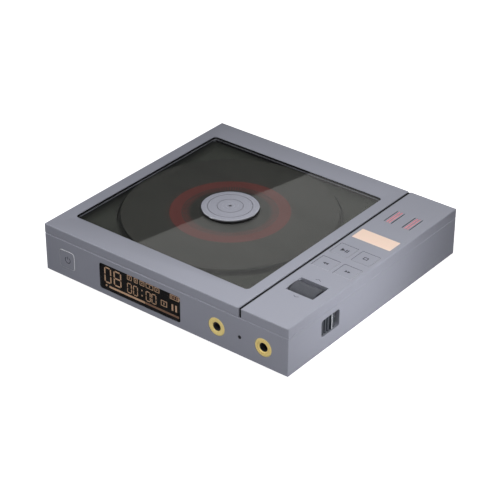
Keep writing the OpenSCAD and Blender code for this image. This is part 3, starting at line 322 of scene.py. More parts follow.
def anodised(name, colour=BODY_TONE, rough=0.36, metallic=0.5):
    """Bead-blasted anodised aluminium."""
    return grained(
        name,
        colour,
        tone=0.035,
        metallic=metallic,
        rough=rough,
        rough_spread=0.03,
        grain=0.00022,
        cloud=0.05,
        bump=0.22,
        depth=METAL_DEPTH,
    )


def mould(name, colour, rough=0.5, bump=0.25, grain=0.0004, **plain):
    """Moulded plastic or rubber with a fine spark texture."""
    return grained(
        name, colour, tone=0.1, rough=rough, grain=grain, cloud=0.02, bump=bump, depth=0.00003, **plain
    )


SPECK_SIZE = 4.0 * MM


def smoked_glass(name, colour, rough=0.012, ior=1.45, shade=0.4):
    """Tinted clear glass with faint dust and wipe marks, that stops a share of the lamps' light."""
    material, tree, shader, place = start_material(name)
    marks = put_group(tree, DUST, {"Vector": place, "Speck Size": SPECK_SIZE})
    dusty = tuple(min(1.0, c * 0.93 + 0.012) for c in colour) + (1.0,)
    specks = math_node(tree, "MULTIPLY_ADD", marks["Specks"], 0.05, rough)
    wipes = times(tree, marks["Wipes"], 0.012)
    path = add(tree, "ShaderNodeLightPath")
    feed(
        tree,
        shader,
        {
            "Base Color": blend_colours(tree, marks["Wipes"], rgba(colour), dusty),
            "Roughness": math_node(tree, "ADD", specks, wipes),
            "Transmission Weight": 1.0,
            "IOR": ior,
            "Alpha": smooth_step(tree, path.outputs["Is Shadow Ray"], 0.0, 1.0, 1.0, shade),
        },
    )
    return material


# The disc's label: each pair of radii runs from where a part is gone to where it is full
DISC_RED = (0.30, 0.075, 0.068, 1)
LABEL_DARK = (0.080, 0.081, 0.075, 1)
LABEL_LIGHTER = (0.087, 0.088, 0.081, 1)
FIELD_IN = (21.2 * MM, 24.5 * MM)
FIELD_OUT = (27.2 * MM, 26.6 * MM)
BAND_IN = (26.6 * MM, 27.2 * MM)
BAND_OUT = (33.7 * MM, 33.1 * MM)
FRINGE_OUT = (37.0 * MM, 33.5 * MM)
BAND_HOOPS = 2 * math.pi / (0.9 * MM)
FIELD_HOOPS = 2 * math.pi / (1.4 * MM)
RADIAL_LINES = 110.0


def disc_print(name):
    """Dark disc label: fine rings, one red band, and fine radial red lines that fade beside it."""
    material, tree, shader, place = start_material(name)
    marks = turned_marks(tree, place, AXIS, 0.6 * MM)
    radius = marks["Radius"]
    band_in = smooth_step(tree, radius, *BAND_IN)
    band_out = smooth_step(tree, radius, *BAND_OUT)
    hoop_tone = smooth_step(tree, wave(tree, radius, BAND_HOOPS), -1.0, 1.0, 0.55, 1.0)
    band = times(tree, times(tree, band_in, band_out), hoop_tone)
    spokes = wave(tree, marks["Angle"], RADIAL_LINES)
    hoops = wave(tree, radius, FIELD_HOOPS)
    weave = math_node(tree, "ADD", times(tree, hoops, 0.35), spokes)
    strokes = smooth_step(tree, weave, -0.1, 0.5)
    fade_in = smooth_step(tree, radius, *FIELD_IN)
    fade = times(tree, fade_in, smooth_step(tree, radius, *FIELD_OUT))
    field = times(tree, times(tree, strokes, fade), 0.9)
    outer_fade = smooth_step(tree, radius, *FRINGE_OUT, 0.0, 0.15)
    fringe = times(tree, times(tree, strokes, outer_fade), band_in)
    strongest = math_node(tree, "MAXIMUM", band, fringe)
    red_share = math_node(tree, "ADD", strongest, field, clamp=True)
    plain_dark = blend_colours(tree, marks["Height"], LABEL_DARK, LABEL_LIGHTER)
    feed(
        tree,
        shader,
        {
            "Base Color": blend_colours(tree, red_share, plain_dark, DISC_RED),
            "Roughness": smooth_step(tree, marks["Height"], 0.2, 0.8, 0.42, 0.54),
            "Specular IOR Level": 0.25,
            "Normal": relief(tree, marks["Height"], 0.03, TURN_DEPTH),
        },
    )
    return material


def disc_mirror(name):
    """The read side of a disc: silver with faint bands of colour round its centre, a painted rainbow
    sheen.
    """
    material, tree, shader, place = start_material(name)
    marks = turned_marks(tree, place, AXIS, 0.4 * MM)
    share = smooth_step(tree, wave(tree, marks["Angle"], 4.0), -1.0, 1.0)
    feed(
        tree,
        shader,
        {
            "Base Color": blend_colours(tree, share, (0.70, 0.76, 0.82, 1), (0.84, 0.78, 0.72, 1)),
            "Roughness": smooth_step(tree, marks["Height"], 0.0, 1.0, 0.08, 0.16),
            "Metallic": 1.0,
        },
    )
    return material


def glowing(name, colour, strength, spread=0.25):
    """A lit area whose brightness wavers a little."""
    material, tree, shader, place = start_material(name)
    marks = grain_marks(tree, place, 0.0004, 0.003)
    dim = rgba(colour, 1 - spread)
    lit = blend_colours(tree, marks["Cloud"], dim, rgba(colour))
    feed(
        tree,
        shader,
        {
            "Emission Color": lit,
            "Emission Strength": strength,
            "Base Color": blend_colours(tree, marks["Grain"], dim, lit),
            "Roughness": 0.5,
        },
    )
    return material


METAL = anodised("anodised_body")
# Near-white finish for the power button's rounded rim: a painted highlight, not the body's own colour.
POWER_EDGE_PAINTED_HIGHLIGHT = anodised("power_edge_painted_highlight", (0.93, 0.94, 0.98), rough=0.25, metallic=0.1)
# Lighter finish for the rounded rims of the keys and of the case at the split and the foot: a painted
# highlight for the light these rims catch.
RIM_PAINTED_HIGHLIGHT = anodised("rim_painted_highlight", (0.60, 0.61, 0.68), rough=0.3, metallic=0.3)
KEY_METAL = anodised("anodised_keys", tuple(c * 0.97 for c in BODY_TONE), rough=0.34)
COVER = anodised("anodised_cover", (0.26, 0.265, 0.30), rough=0.5)
CAP_SATIN = turned("cap_satin", (0.45, 0.46, 0.535), AXIS, rough=0.25, metallic=0.6, rings=0.10)
CAP_POLISH = turned("cap_polish", (0.50, 0.51, 0.56), AXIS, rough=0.10, metallic=1.0, rings=0.05)
CAP_ENGRAVED = turned("cap_engraving", (0.06, 0.06, 0.07), AXIS, rough=0.5, metallic=0.3)
ROLLER_METAL = grained(
    "roller_knurl", (0.13, 0.136, 0.155), metallic=0.3, rough=0.5, grain=0.0002, bump=0.2
)
ROLLER_END = turned("roller_end", (0.22, 0.225, 0.25), ROLLER, axis="X", rough=0.35)
GOLD_SMALL = turned("gold_small_ring", GOLD_TONE, SMALL_JACK, axis="Y", rough=0.3, metallic=0.3)
GOLD_LARGE = turned("gold_large_ring", GOLD_TONE, LARGE_JACK, axis="Y", rough=0.3, metallic=0.3)
BADGE = grained(
    "rose_gold_badge", (0.99, 0.76, 0.62), tone=0.01, metallic=0.1, rough=0.34, rough_spread=0.03,
    grain=0.0003, bump=0.08, depth=0.00001,
)
STEEL = grained("steel", (0.55, 0.55, 0.56), metallic=1.0, rough=0.3, grain=0.0004, bump=0.1)
ZINC = grained("zinc_plate", (0.50, 0.51, 0.50), metallic=0.9, rough=0.42, grain=0.0008, cloud=0.01)
MAGNET = grained("nickel_magnet", (0.62, 0.60, 0.56), metallic=1.0, rough=0.18, grain=0.0005, bump=0.05)
DARK_PLASTIC = mould("dark_plastic", (0.022, 0.022, 0.024))
DECK_PLASTIC = mould("deck_plastic", (0.105, 0.113, 0.100), rough=0.6, specular_ior_level=0.3)
# Near-black finish for the sheet on the lid's inner walls: painted shade.
SHADE_LINER_PLASTIC = mould("painted_shade_liner", (0.012, 0.012, 0.012), rough=0.6)
SLIDER_PLASTIC = mould("slider_plastic", (0.045, 0.05, 0.06), rough=0.42)
# Light finish for a thin strip on the slider's rib: a painted highlight.
SLIDER_PAINTED_HIGHLIGHT = mould("slider_painted_highlight", (0.55, 0.56, 0.60), rough=0.35, bump=0.05)
RUBBER = mould("rubber", (0.018, 0.018, 0.018), rough=0.75, bump=0.4)
# The felt is lightened to a mid grey to lift the shade in the dark gap round the disc: painted light on
# a real felt ring.
FELT_PAINTED_LIGHT = mould("felt", (0.14, 0.145, 0.135), rough=0.95, bump=0.9, grain=0.0005, sheen_weight=0.3)
TAPE = mould("black_tape", (0.006, 0.006, 0.007), rough=0.6, bump=0.08, specular_ior_level=0.2)
CLEAR_PLASTIC = smoked_glass("clear_plastic", (0.93, 0.93, 0.92), rough=0.06, ior=1.49)
LAMP_PLASTIC = smoked_glass("lamp_plastic", (0.06, 0.06, 0.07), rough=0.15, ior=1.49)
WINDOW_GLASS = smoked_glass("smoked_window", (0.62, 0.62, 0.60), ior=1.27, shade=0.05)
DISPLAY_GLASS = smoked_glass("display_glass", (0.70, 0.70, 0.70), rough=0.02, ior=1.2)
LENS_GLASS = smoked_glass("lens_glass", (0.80, 0.84, 0.98), rough=0.01, ior=1.6)
VALVE_GLASS = smoked_glass("valve_glass", (0.95, 0.93, 0.90), rough=0.03)
DISPLAY_BLACK = mould("display_black", (0.003, 0.0028, 0.0026), rough=0.6, bump=0.02)
CIRCUIT = grained(
    "circuit_board", (0.018, 0.09, 0.045), tone=0.2, rough=0.35, grain=0.0012, cloud=0.004, bump=0.3,
    second=(0.01, 0.06, 0.03),
)
BATTERY_WRAP = mould("battery_wrap", (0.035, 0.10, 0.22), rough=0.3, bump=0.1)
CABLE = grained("flat_cable", (0.62, 0.58, 0.48), tone=0.05, rough=0.4, grain=0.001, bump=0.1)
HOT_METAL = glowing("valve_plates", (1.0, 0.16, 0.08), 1.2)
PRINT_DARK = mould("printed_mark", (0.035, 0.037, 0.048), rough=0.7, bump=0.05)
DISC_PRINT = disc_print("disc_label")
DISC_MIRROR = disc_mirror("disc_read_side")
SEGMENT_LIT = glowing("segments_lit", (1.0, 0.65, 0.42), 0.30, spread=0.15)
SEGMENT_DIM = glowing("segments_dim", (0.60, 0.34, 0.22), 0.13, spread=0.2)
VENT_GLOW = glowing("vent_glow", (1.0, 0.20, 0.22), 0.42)

FINISH_OF_SLOT = {
    "case_metal": METAL,
    "lid_metal": METAL,
    "key_metal": KEY_METAL,
    "cap_metal": CAP_SATIN,
    "cover_metal": COVER,
    "roller_metal": ROLLER_METAL,
    "slider_plastic": SLIDER_PLASTIC,
    "badge_metal": BADGE,
    "gold_ring": GOLD_SMALL,
    "steel": STEEL,
    "magnet": MAGNET,
    "dark_plastic": DARK_PLASTIC,
    "deck_plastic": DECK_PLASTIC,
    "clear_plastic": LAMP_PLASTIC,
    "rubber": RUBBER,
    "felt": FELT_PAINTED_LIGHT,
    "black_tape": TAPE,
    "disc_dark": DISC_PRINT,
    "circuit_board": CIRCUIT,
    "battery_wrap": BATTERY_WRAP,
    "flat_cable": CABLE,
    "smoked_glass": WINDOW_GLASS,
    "display_glass": DISPLAY_GLASS,
    "lens_glass": LENS_GLASS,
    "valve_glass": VALVE_GLASS,
    "glow_metal": HOT_METAL,
}
SLOT_OF_NODE = {part["node"]: part["material_slot"] for part in frame["record"]["subparts"]}
FINISH_OF_NODE = {
    "large_jack_ring": GOLD_LARGE,
    "drive_plate": ZINC,
    "sled_motor": STEEL,
    "spindle_motor": STEEL,
}


def finish_nodes():
    """Every carried-over node gets the finish of its slot, or one of its own."""
    for name, node in NODES.items():
        finish = FINISH_OF_NODE.get(name, FINISH_OF_SLOT[SLOT_OF_NODE[name]])
        node.data.materials.clear()
        node.data.materials.append(finish)
        for polygon in node.data.polygons:
            polygon.material_index = 0


finish_nodes()


# Building fine pieces
UP = Vector((0, 0, 1))
AXIS_TURN = {
    "Z": Matrix.Identity(4),
    "Y": Matrix.Rotation(-math.pi / 2, 4, "X"),
    "X": Matrix.Rotation(math.pi / 2, 4, "Y"),
}


def as_mesh(name, part):
    mesh = bpy.data.meshes.new(name)
    part.to_mesh(mesh)
    part.free()
    return mesh


def new_object(name, data):
    """An object in the scene for a mesh, a lamp or a camera."""
    made = bpy.data.objects.new(name, data)
    bpy.context.scene.collection.objects.link(made)
    return made


def place_piece(name, part, body, materials, replaced=()):
    """Turns a bmesh into a piece that rides on a body and may stand for CAD nodes."""
    bmesh.ops.remove_doubles(part, verts=part.verts, dist=0.0000005)
    bmesh.ops.recalc_face_normals(part, faces=part.faces)
    mesh = as_mesh(name, part)
    for material in materials:
        mesh.materials.append(material)
    mesh.polygons.foreach_set("use_smooth", [True] * len(mesh.polygons))
    mesh.set_sharp_from_angle(angle=SMOOTH_ANGLE)
    piece = new_object(name, mesh)
    weighted = piece.modifiers.new("weighted_normals", "WEIGHTED_NORMAL")
    weighted.keep_sharp = True
    weighted.weight = 80
    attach(piece, body)
    if replaced:
        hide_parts(*replaced)
    return piece


def join_into(whole, part, matrix=None, material=None):
    """Adds one bmesh to another, turned and moved by a matrix."""
    bmesh.ops.recalc_face_normals(part, faces=part.faces)
    if matrix is not None:
        bmesh.ops.transform(part, matrix=matrix, verts=part.verts)
    if material is not None:
        for face in part.faces:
            face.material_index = material
    mesh = as_mesh("joined_part", part)
    whole.from_mesh(mesh)
    bpy.data.meshes.remove(mesh)


def sharp_edges(part):
    return [e for e in part.edges if len(e.link_faces) == 2 and e.calc_face_angle(0) > SMOOTH_ANGLE]


def round_off(part, where, width, segments=2, affect="EDGES", clamp=False, finish=-1):
    """Rounds edges or corners of a bmesh; the new faces may take a finish of their own."""
    bmesh.ops.bevel(
        part, geom=where, offset=width, offset_type="OFFSET", segments=segments, profile=0.5,
        affect=affect, clamp_overlap=clamp, material=finish,
    )


def extrude_up(part, height):
    """Grows every face of a bmesh along z."""
    grown = bmesh.ops.extrude_face_region(part, geom=part.faces[:])["geom"]
    raised = [item for item in grown if isinstance(item, bmesh.types.BMVert)]
    bmesh.ops.translate(part, verts=raised, vec=(0, 0, height))


def flat_square(half):
    """One square face at z = 0 round the origin."""
    part = bmesh.new()
    bmesh.ops.create_grid(part, x_segments=1, y_segments=1, size=half)
    return part


def slab(low, high, corner=0.0, edge=0.0, axis="Z", segments=6):
    """A block whose corners along one axis are rounded, and whose rims are eased."""
    low, high = Vector(low), Vector(high)
    part = bmesh.new()
    bmesh.ops.create_cube(part, size=1.0)
    bmesh.ops.scale(part, verts=part.verts, vec=high - low)
    bmesh.ops.translate(part, verts=part.verts, vec=(high + low) / 2)
    if corner:
        way = "XYZ".index(axis)
        upright = [e for e in part.edges if abs((e.verts[1].co - e.verts[0].co)[way]) > 1e-7]
        round_off(part, upright, corner, segments)
    if edge:
        round_off(part, sharp_edges(part), edge, clamp=True)
    return part


def lathe(profile, centre, axis="Z", steps=160, paint=None):
    """Spins (radius, height) points in millimetres round an axis through centre.

    paint gives the material number for a face from its middle's radius and height.
    """
    part = bmesh.new()
    row = [part.verts.new((radius * MM, 0, height * MM)) for radius, height in profile]
    edges = [part.edges.new(pair) for pair in zip(row, row[1:])]
    bmesh.ops.spin(
        part, geom=row + edges, axis=UP, cent=(0, 0, 0), angle=2 * math.pi, steps=steps, use_merge=True
    )
    bmesh.ops.remove_doubles(part, verts=part.verts, dist=0.0000005)
    if paint:
        for face in part.faces:
            radii = [vert.co.xy.length for vert in face.verts]
            heights = [vert.co.z for vert in face.verts]
            middle = (max(radii) + min(radii)) / 2 / MM
            face.material_index = paint(middle, (max(heights) + min(heights)) / 2 / MM)
    bmesh.ops.recalc_face_normals(part, faces=part.faces)
    turn = Matrix.Translation(centre) @ AXIS_TURN[axis]
    bmesh.ops.transform(part, matrix=turn, verts=part.verts)
    return part


def shape_of(node):
    """A CAD node's own shape as a bmesh, its flat faces made whole."""
    part = bmesh.new()
    part.from_mesh(NODES[node].data)
    bmesh.ops.remove_doubles(part, verts=part.verts, dist=0.000001)
    bmesh.ops.dissolve_limit(part, angle_limit=math.radians(1), verts=part.verts, edges=part.edges)
    for face in part.faces:
        face.material_index = 0
    return part


def eased_copy(name, node, body, material, width, edge_finish=None):
    """A CAD node's own shape with its sharp edges rounded, standing for the node."""
    part = shape_of(node)
    round_off(part, sharp_edges(part), width, clamp=True, finish=1)
    materials = [material, edge_finish or material]
    return place_piece(name, part, body, materials, (node,))


def on_rim(vert, heights):
    """True on the outer sides of the body at one of the heights."""
    outer = min(vert.co.x - LEFT, RIGHT - vert.co.x, vert.co.y - FRONT, BACK - vert.co.y)
    return outer < 0.05 * MM and any(abs(vert.co.z - height) < 0.05 * MM for height in heights)


def rimmed_copy(name, node, material, heights, width, body, edge_finish):
    """A shell's own shape with only its outer rims at some heights rounded."""
    part = shape_of(node)
    rims = [e for e in sharp_edges(part) if all(on_rim(vert, heights) for vert in e.verts)]
    round_off(part, rims, width, finish=1)
    return place_piece(name, part, body, [material, edge_finish], (node,))


# Flat marks, drawn in millimetres in a plane and given a small thickness
def plane_at(origin, upward):
    """A matrix from a plane, whose first axis is x, to the row frame; its third axis points outward."""
    across = Vector((1, 0, 0))
    matrix = Matrix((across, upward, across.cross(Vector(upward)))).transposed().to_4x4()
    matrix.translation = Vector(origin)
    return matrix


def top_plane(centre, height):
    return plane_at((centre.x, centre.y, height), (0, 1, 0))


def front_plane(x, y, z):
    return plane_at((x, y, z), (0, 0, 1))


def bar(x0, y0, x1, y1, thick, corner=0.0):
    return slab((x0 * MM, y0 * MM, 0), (x1 * MM, y1 * MM, thick * MM), corner * MM, segments=3)


def triangle(x, y, radius, turn, thick):
    part = bmesh.new()
    bmesh.ops.create_cone(
        part, cap_ends=True, segments=3, radius1=radius * MM, radius2=radius * MM, depth=thick * MM
    )
    point = Matrix.Rotation(turn - math.pi / 2, 3, "Z")
    bmesh.ops.rotate(part, verts=part.verts, cent=(0, 0, 0), matrix=point)
    bmesh.ops.translate(part, verts=part.verts, vec=(x * MM, y * MM, thick * MM / 2))
    return part


def arc(x, y, outer, inner, thick, start=0.0, sweep=2 * math.pi):
    """A flat ring, or part of one."""
    part = flat_square(0.5)
    bmesh.ops.scale(part, verts=part.verts, vec=((outer - inner) * MM, thick * MM, 1))
    bmesh.ops.rotate(
        part, verts=part.verts, cent=(0, 0, 0), matrix=Matrix.Rotation(math.pi / 2, 3, "X")
    )
    bmesh.ops.translate(part, verts=part.verts, vec=((outer + inner) / 2 * MM, 0, thick * MM / 2))
    bmesh.ops.rotate(part, verts=part.verts, cent=(0, 0, 0), matrix=Matrix.Rotation(start, 3, "Z"))
    bmesh.ops.spin(
        part, geom=part.verts[:] + part.edges[:] + part.faces[:], axis=UP, cent=(0, 0, 0),
        angle=sweep, steps=48, use_merge=sweep > 6.28,
    )
    bmesh.ops.remove_doubles(part, verts=part.verts, dist=0.0000005)
    bmesh.ops.translate(part, verts=part.verts, vec=(x * MM, y * MM, 0))
    return part


def frame_bars(x0, y0, x1, y1, stroke, thick):
    """The four sides of an outlined box."""
    return [
        bar(x0, y0, x1, y0 + stroke, thick),
        bar(x0, y1 - stroke, x1, y1, thick),
        bar(x0, y0 + stroke, x0 + stroke, y1 - stroke, thick),
        bar(x1 - stroke, y0 + stroke, x1, y1 - stroke, thick),
    ]


LIT_BARS = {"0": "abcdef", "8": "abcdefg"}


def digit_bars(figure, x, y, width, height, stroke, thick):
    """The seven-segment bars of one figure, with its lower left corner at x, y."""
    gap = stroke * 0.5
    inset = stroke * 1.15
    end = stroke * 0.9
    mid = y + height / 2
    half = stroke / 2
    spans = {
        "a": (x + inset, y + height - stroke, x + width - inset, y + height),
        "d": (x + inset, y, x + width - inset, y + stroke),
        "g": (x + inset, mid - half, x + width - inset, mid + half),
        "b": (x + width - stroke, mid + gap, x + width, y + height - end),
        "c": (x + width - stroke, y + end, x + width, mid - gap),
        "f": (x, mid + gap, x + stroke, y + height - end),
        "e": (x, y + end, x + stroke, mid - gap),
    }
    return [bar(*spans[key], thick, corner=stroke * 0.2) for key in LIT_BARS[figure]]


def marks_piece(name, groups, matrix, body, materials):
    """One piece from lists of flat parts, each list with its own material."""
    whole = bmesh.new()
    for number, parts in enumerate(groups):
        for part in parts:
            join_into(whole, part, matrix, number)
    return place_piece(name, whole, body, materials)


# The clamp's cap
CAP_LOW, CAP_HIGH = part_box("clamp_cap")
CAP_R = (CAP_HIGH.x - CAP_LOW.x) / 2 / MM
CAP_TOP = CAP_HIGH.z / MM
CAP_FOOT = CAP_LOW.z / MM
CAP_UNDER = CAP_FOOT + 0.5
SPIGOT_R = 5.0


def make_cap():
    bevel_in = CAP_R - 0.62
    profile = [
        (0, CAP_FOOT),
        (SPIGOT_R, CAP_FOOT),
        (SPIGOT_R, CAP_UNDER),
        (CAP_R - 0.3, CAP_UNDER),
        (CAP_R - 0.06, CAP_UNDER + 0.06),
        (CAP_R, CAP_UNDER + 0.24),
        (CAP_R, CAP_UNDER + 0.42),
        (CAP_R - 0.07, CAP_UNDER + 0.58),
        (CAP_R - 0.22, CAP_UNDER + 0.75),
        (bevel_in + 0.16, CAP_TOP - 0.03),
        (bevel_in, CAP_TOP),
    ]
    for groove in (12.4, 7.2):
        profile += [
            (groove + 0.14, CAP_TOP),
            (groove + 0.08, CAP_TOP - 0.05),
            (groove - 0.08, CAP_TOP - 0.05),
            (groove - 0.14, CAP_TOP),
        ]
    profile += [(0.9, CAP_TOP), (0.7, CAP_TOP - 0.12), (0, CAP_TOP - 0.12)]

    def paint(radius, height):
        if radius > bevel_in:
            return 1
        if height < CAP_TOP - 0.01 and height > CAP_UNDER + 0.4:
            return 2
        return 0

    part = lathe(profile, (AXIS.x, AXIS.y, 0), steps=192, paint=paint)
    place_piece(
        "cap_turned", part, "clamp", [CAP_SATIN, CAP_POLISH, CAP_ENGRAVED], ("clamp_cap",)
    )


make_cap()


# The disc, with its clear hub, stacking ring and eased rims
def make_disc():
    outer = (DISC_HIGH.x - DISC_LOW.x) / 2 / MM
    low, high = DISC_LOW.z / MM, DISC_HIGH.z / MM
    hole = 7.5
    profile = [
        (hole + 0.15, low),
        (16.6, low),
        (16.8, low + 0.12),
        (17.4, low + 0.12),
        (17.6, low),
        (outer - 0.2, low),
        (outer, low + 0.2),
        (outer, high - 0.2),
        (outer - 0.2, high),
        (22.6, high),
        (22.4, high - 0.04),
        (21.9, high - 0.04),
        (21.7, high),
        (hole + 0.15, high),
        (hole, high - 0.15),
        (hole, low + 0.15),
        (hole + 0.15, low),
    ]

    def paint(radius, height):
        if height > (low + high) / 2:
            return 0
        return 1 if radius > 21 else 2

    part = lathe(profile, (AXIS.x, AXIS.y, 0), steps=240, paint=paint)
    finishes = [DISC_PRINT, DISC_MIRROR, CLEAR_PLASTIC]
    place_piece("disc_fine", part, "turntable", finishes, ("disc",))


make_disc()


# The volume roller: a barrel of fine ribs between two polished flanges
ROLLER_RIBS = 84
ROLLER_RIB_DEPTH = 0.22


def make_roller():
    radius = (ROLLER_HIGH.z - ROLLER_LOW.z) / 2 / MM
    half = (ROLLER_HIGH.x - ROLLER_LOW.x) / 2 / MM
    flange = 0.55
    whole = bmesh.new()
    barrel = bmesh.new()
    made = bmesh.ops.create_circle(barrel, cap_ends=True, segments=ROLLER_RIBS * 4, radius=radius * MM)
    for number, vert in enumerate(made["verts"]):
        if number % 4 in (2, 3):
            vert.co *= (radius - ROLLER_RIB_DEPTH) / radius
    bmesh.ops.translate(barrel, verts=barrel.verts, vec=(0, 0, -(half - flange) * MM))
    extrude_up(barrel, 2 * (half - flange) * MM)
    join_into(whole, barrel, Matrix.Translation(ROLLER) @ AXIS_TURN["X"], 0)
    for side in (-1, 1):
        inner = half - flange
        profile = [
            (1.0, inner),
            (radius - 0.28, inner),
            (radius - 0.1, inner + 0.08),
            (radius - 0.02, inner + 0.3),
            (radius - 0.3, half - 0.02),
            (radius - 0.5, half),
            (1.0, half),
        ]
        turn = Matrix.Translation(ROLLER) @ AXIS_TURN["X"] @ Matrix.Scale(side, 4, UP)
        disc = lathe(profile, (0, 0, 0), steps=96)
        join_into(whole, disc, turn, 1)
    place_piece(
        "roller_fine", whole, "roller", [ROLLER_METAL, ROLLER_END], ("volume_roller",)
    )


make_roller()


# Gold rings round the two jacks
def make_ring(name, centre, node, material, groove):
    outer = (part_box(node)[1].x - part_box(node)[0].x) / 2 / MM
    front = FRONT / MM
    thick = 0.8
    hole = 2.55
    profile = [
        (outer, front + thick),
        (outer, front + 0.42),
        (outer - 0.06, front + 0.22),
        (outer - 0.22, front + 0.08),
        (outer - 0.5, front + 0.01),
        (outer - 0.8, front),
    ]
    if groove:
        profile += [
            (groove + 0.26, front + 0.02),
            (groove + 0.20, front + 0.4),
            (groove - 0.20, front + 0.4),
            (groove - 0.26, front + 0.02),
        ]
    profile += [
        (hole + 0.42, front + 0.02),
        (hole + 0.18, front + 0.1),
        (hole + 0.03, front + 0.28),
        (hole, front + 0.45),
        (hole, front + thick),
        (outer, front + thick),
    ]
    part = lathe(profile, (centre.x, 0, centre.z), axis="Y", steps=128)
    place_piece(name, part, "case", [material], (node,))


make_ring("small_ring_crowned", SMALL_JACK, "small_jack_ring", GOLD_SMALL, None)
make_ring("large_ring_crowned", LARGE_JACK, "large_jack_ring", GOLD_LARGE, 3.55)

# Keys, button and slider with rounded rims; the keys' rims take a lighter painted highlight, and the
# power button's rim a near-white painted highlight
for key_node in KEYS:
    eased_copy(key_node + "_eased", key_node, key_node, KEY_METAL, 0.22 * MM, RIM_PAINTED_HIGHLIGHT)
eased_copy("power_button_eased", "power_button", "power_button", KEY_METAL, 0.3 * MM, POWER_EDGE_PAINTED_HIGHLIGHT)
eased_copy("hold_slider_eased", "hold_slider", "hold_slider", SLIDER_PLASTIC, 0.15 * MM)
eased_copy("badge_eased", "badge_plate", "case", BADGE, 0.12 * MM)
eased_copy("feet_eased", "feet", "case", RUBBER, 0.3 * MM)
eased_copy("shield_eased", "shield_can", "case", STEEL, 0.25 * MM)

LID_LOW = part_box("lid_frame")[0].z
RIM = 0.22 * MM
# The case's rims at the split and the foot take the lighter painted highlight.
rimmed_copy("case_frame_rimmed", "case_frame", METAL, (SPLIT, body_low.z), RIM, "case", RIM_PAINTED_HIGHLIGHT)
rimmed_copy("lid_frame_rimmed", "lid_frame", METAL, (LID_LOW,), RIM, "lid", METAL)
rimmed_copy("control_panel_rimmed", "control_panel", METAL, (SPLIT,), RIM, "case", METAL)

# Key marks
INLAY = 0.02
MARKS = {
    "key_play": [
        triangle(-1.05, 0, 1.7, 0, INLAY),
        bar(0.9, -1.35, 1.5, 1.35, INLAY),
        bar(2.0, -1.35, 2.6, 1.35, INLAY),
    ],
    "key_stop": frame_bars(-1.4, -1.2, 1.4, 1.2, 0.45, INLAY),
    "key_previous": [
        triangle(-0.65, 0, 1.1, math.pi, INLAY),
        triangle(0.95, 0, 1.1, math.pi, INLAY),
    ],
    "key_next": [
        triangle(-0.95, 0, 1.1, 0, INLAY),
        triangle(0.65, 0, 1.1, 0, INLAY),
    ],
}
for key_node, parts in MARKS.items():
    key_plane = top_plane(KEYS[key_node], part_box(key_node)[1].z)
    marks_piece(key_node + "_mark", [parts], key_plane, key_node, [PRINT_DARK])


# Chevrons behind and in front of the roller
def chevron(y, way):
    """Two short strokes that meet in a point, towards +y or -y."""
    strokes = []
    for side in (-1, 1):
        stroke = bar(-0.95, -0.14, 0.95, 0.14, INLAY)
        turn = Matrix.Rotation(-side * way * math.radians(32), 4, "Z")
        shift = Matrix.Translation((side * 0.78 * MM, y * MM, 0))
        bmesh.ops.transform(stroke, matrix=shift @ turn, verts=stroke.verts)
        strokes.append(stroke)
    return strokes


marks_piece(
    "volume_marks",
    [chevron(9.95, 1) + chevron(-9.55, -1)],
    top_plane(ROLLER, TOP),
    "case",
    [PRINT_DARK],
)

# The power mark
marks_piece(
    "power_mark",
    [
        [
            arc(0, 0, 2.0, 1.58, INLAY, start=math.radians(125), sweep=math.radians(290)),
            bar(-0.2, 0.5, 0.2, 2.25, INLAY),
        ]
    ],
    front_plane(POWER.x + 0.6 * MM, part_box("power_button")[0].y, POWER.z),
    "power_button",
    [PRINT_DARK],
)


# The display: a black mask on the module's nose and glowing figures behind the smoked glass
GLASS_T = 0.3
FIGURE_T = 0.03
MASK_DEPTH = GLASS_T + 0.1
DISPLAY_CORNER = 1.5 * MM
DISPLAY_PLANE = front_plane(LEFT, FRONT + (MASK_DEPTH - 0.01) * MM, body_low.z)


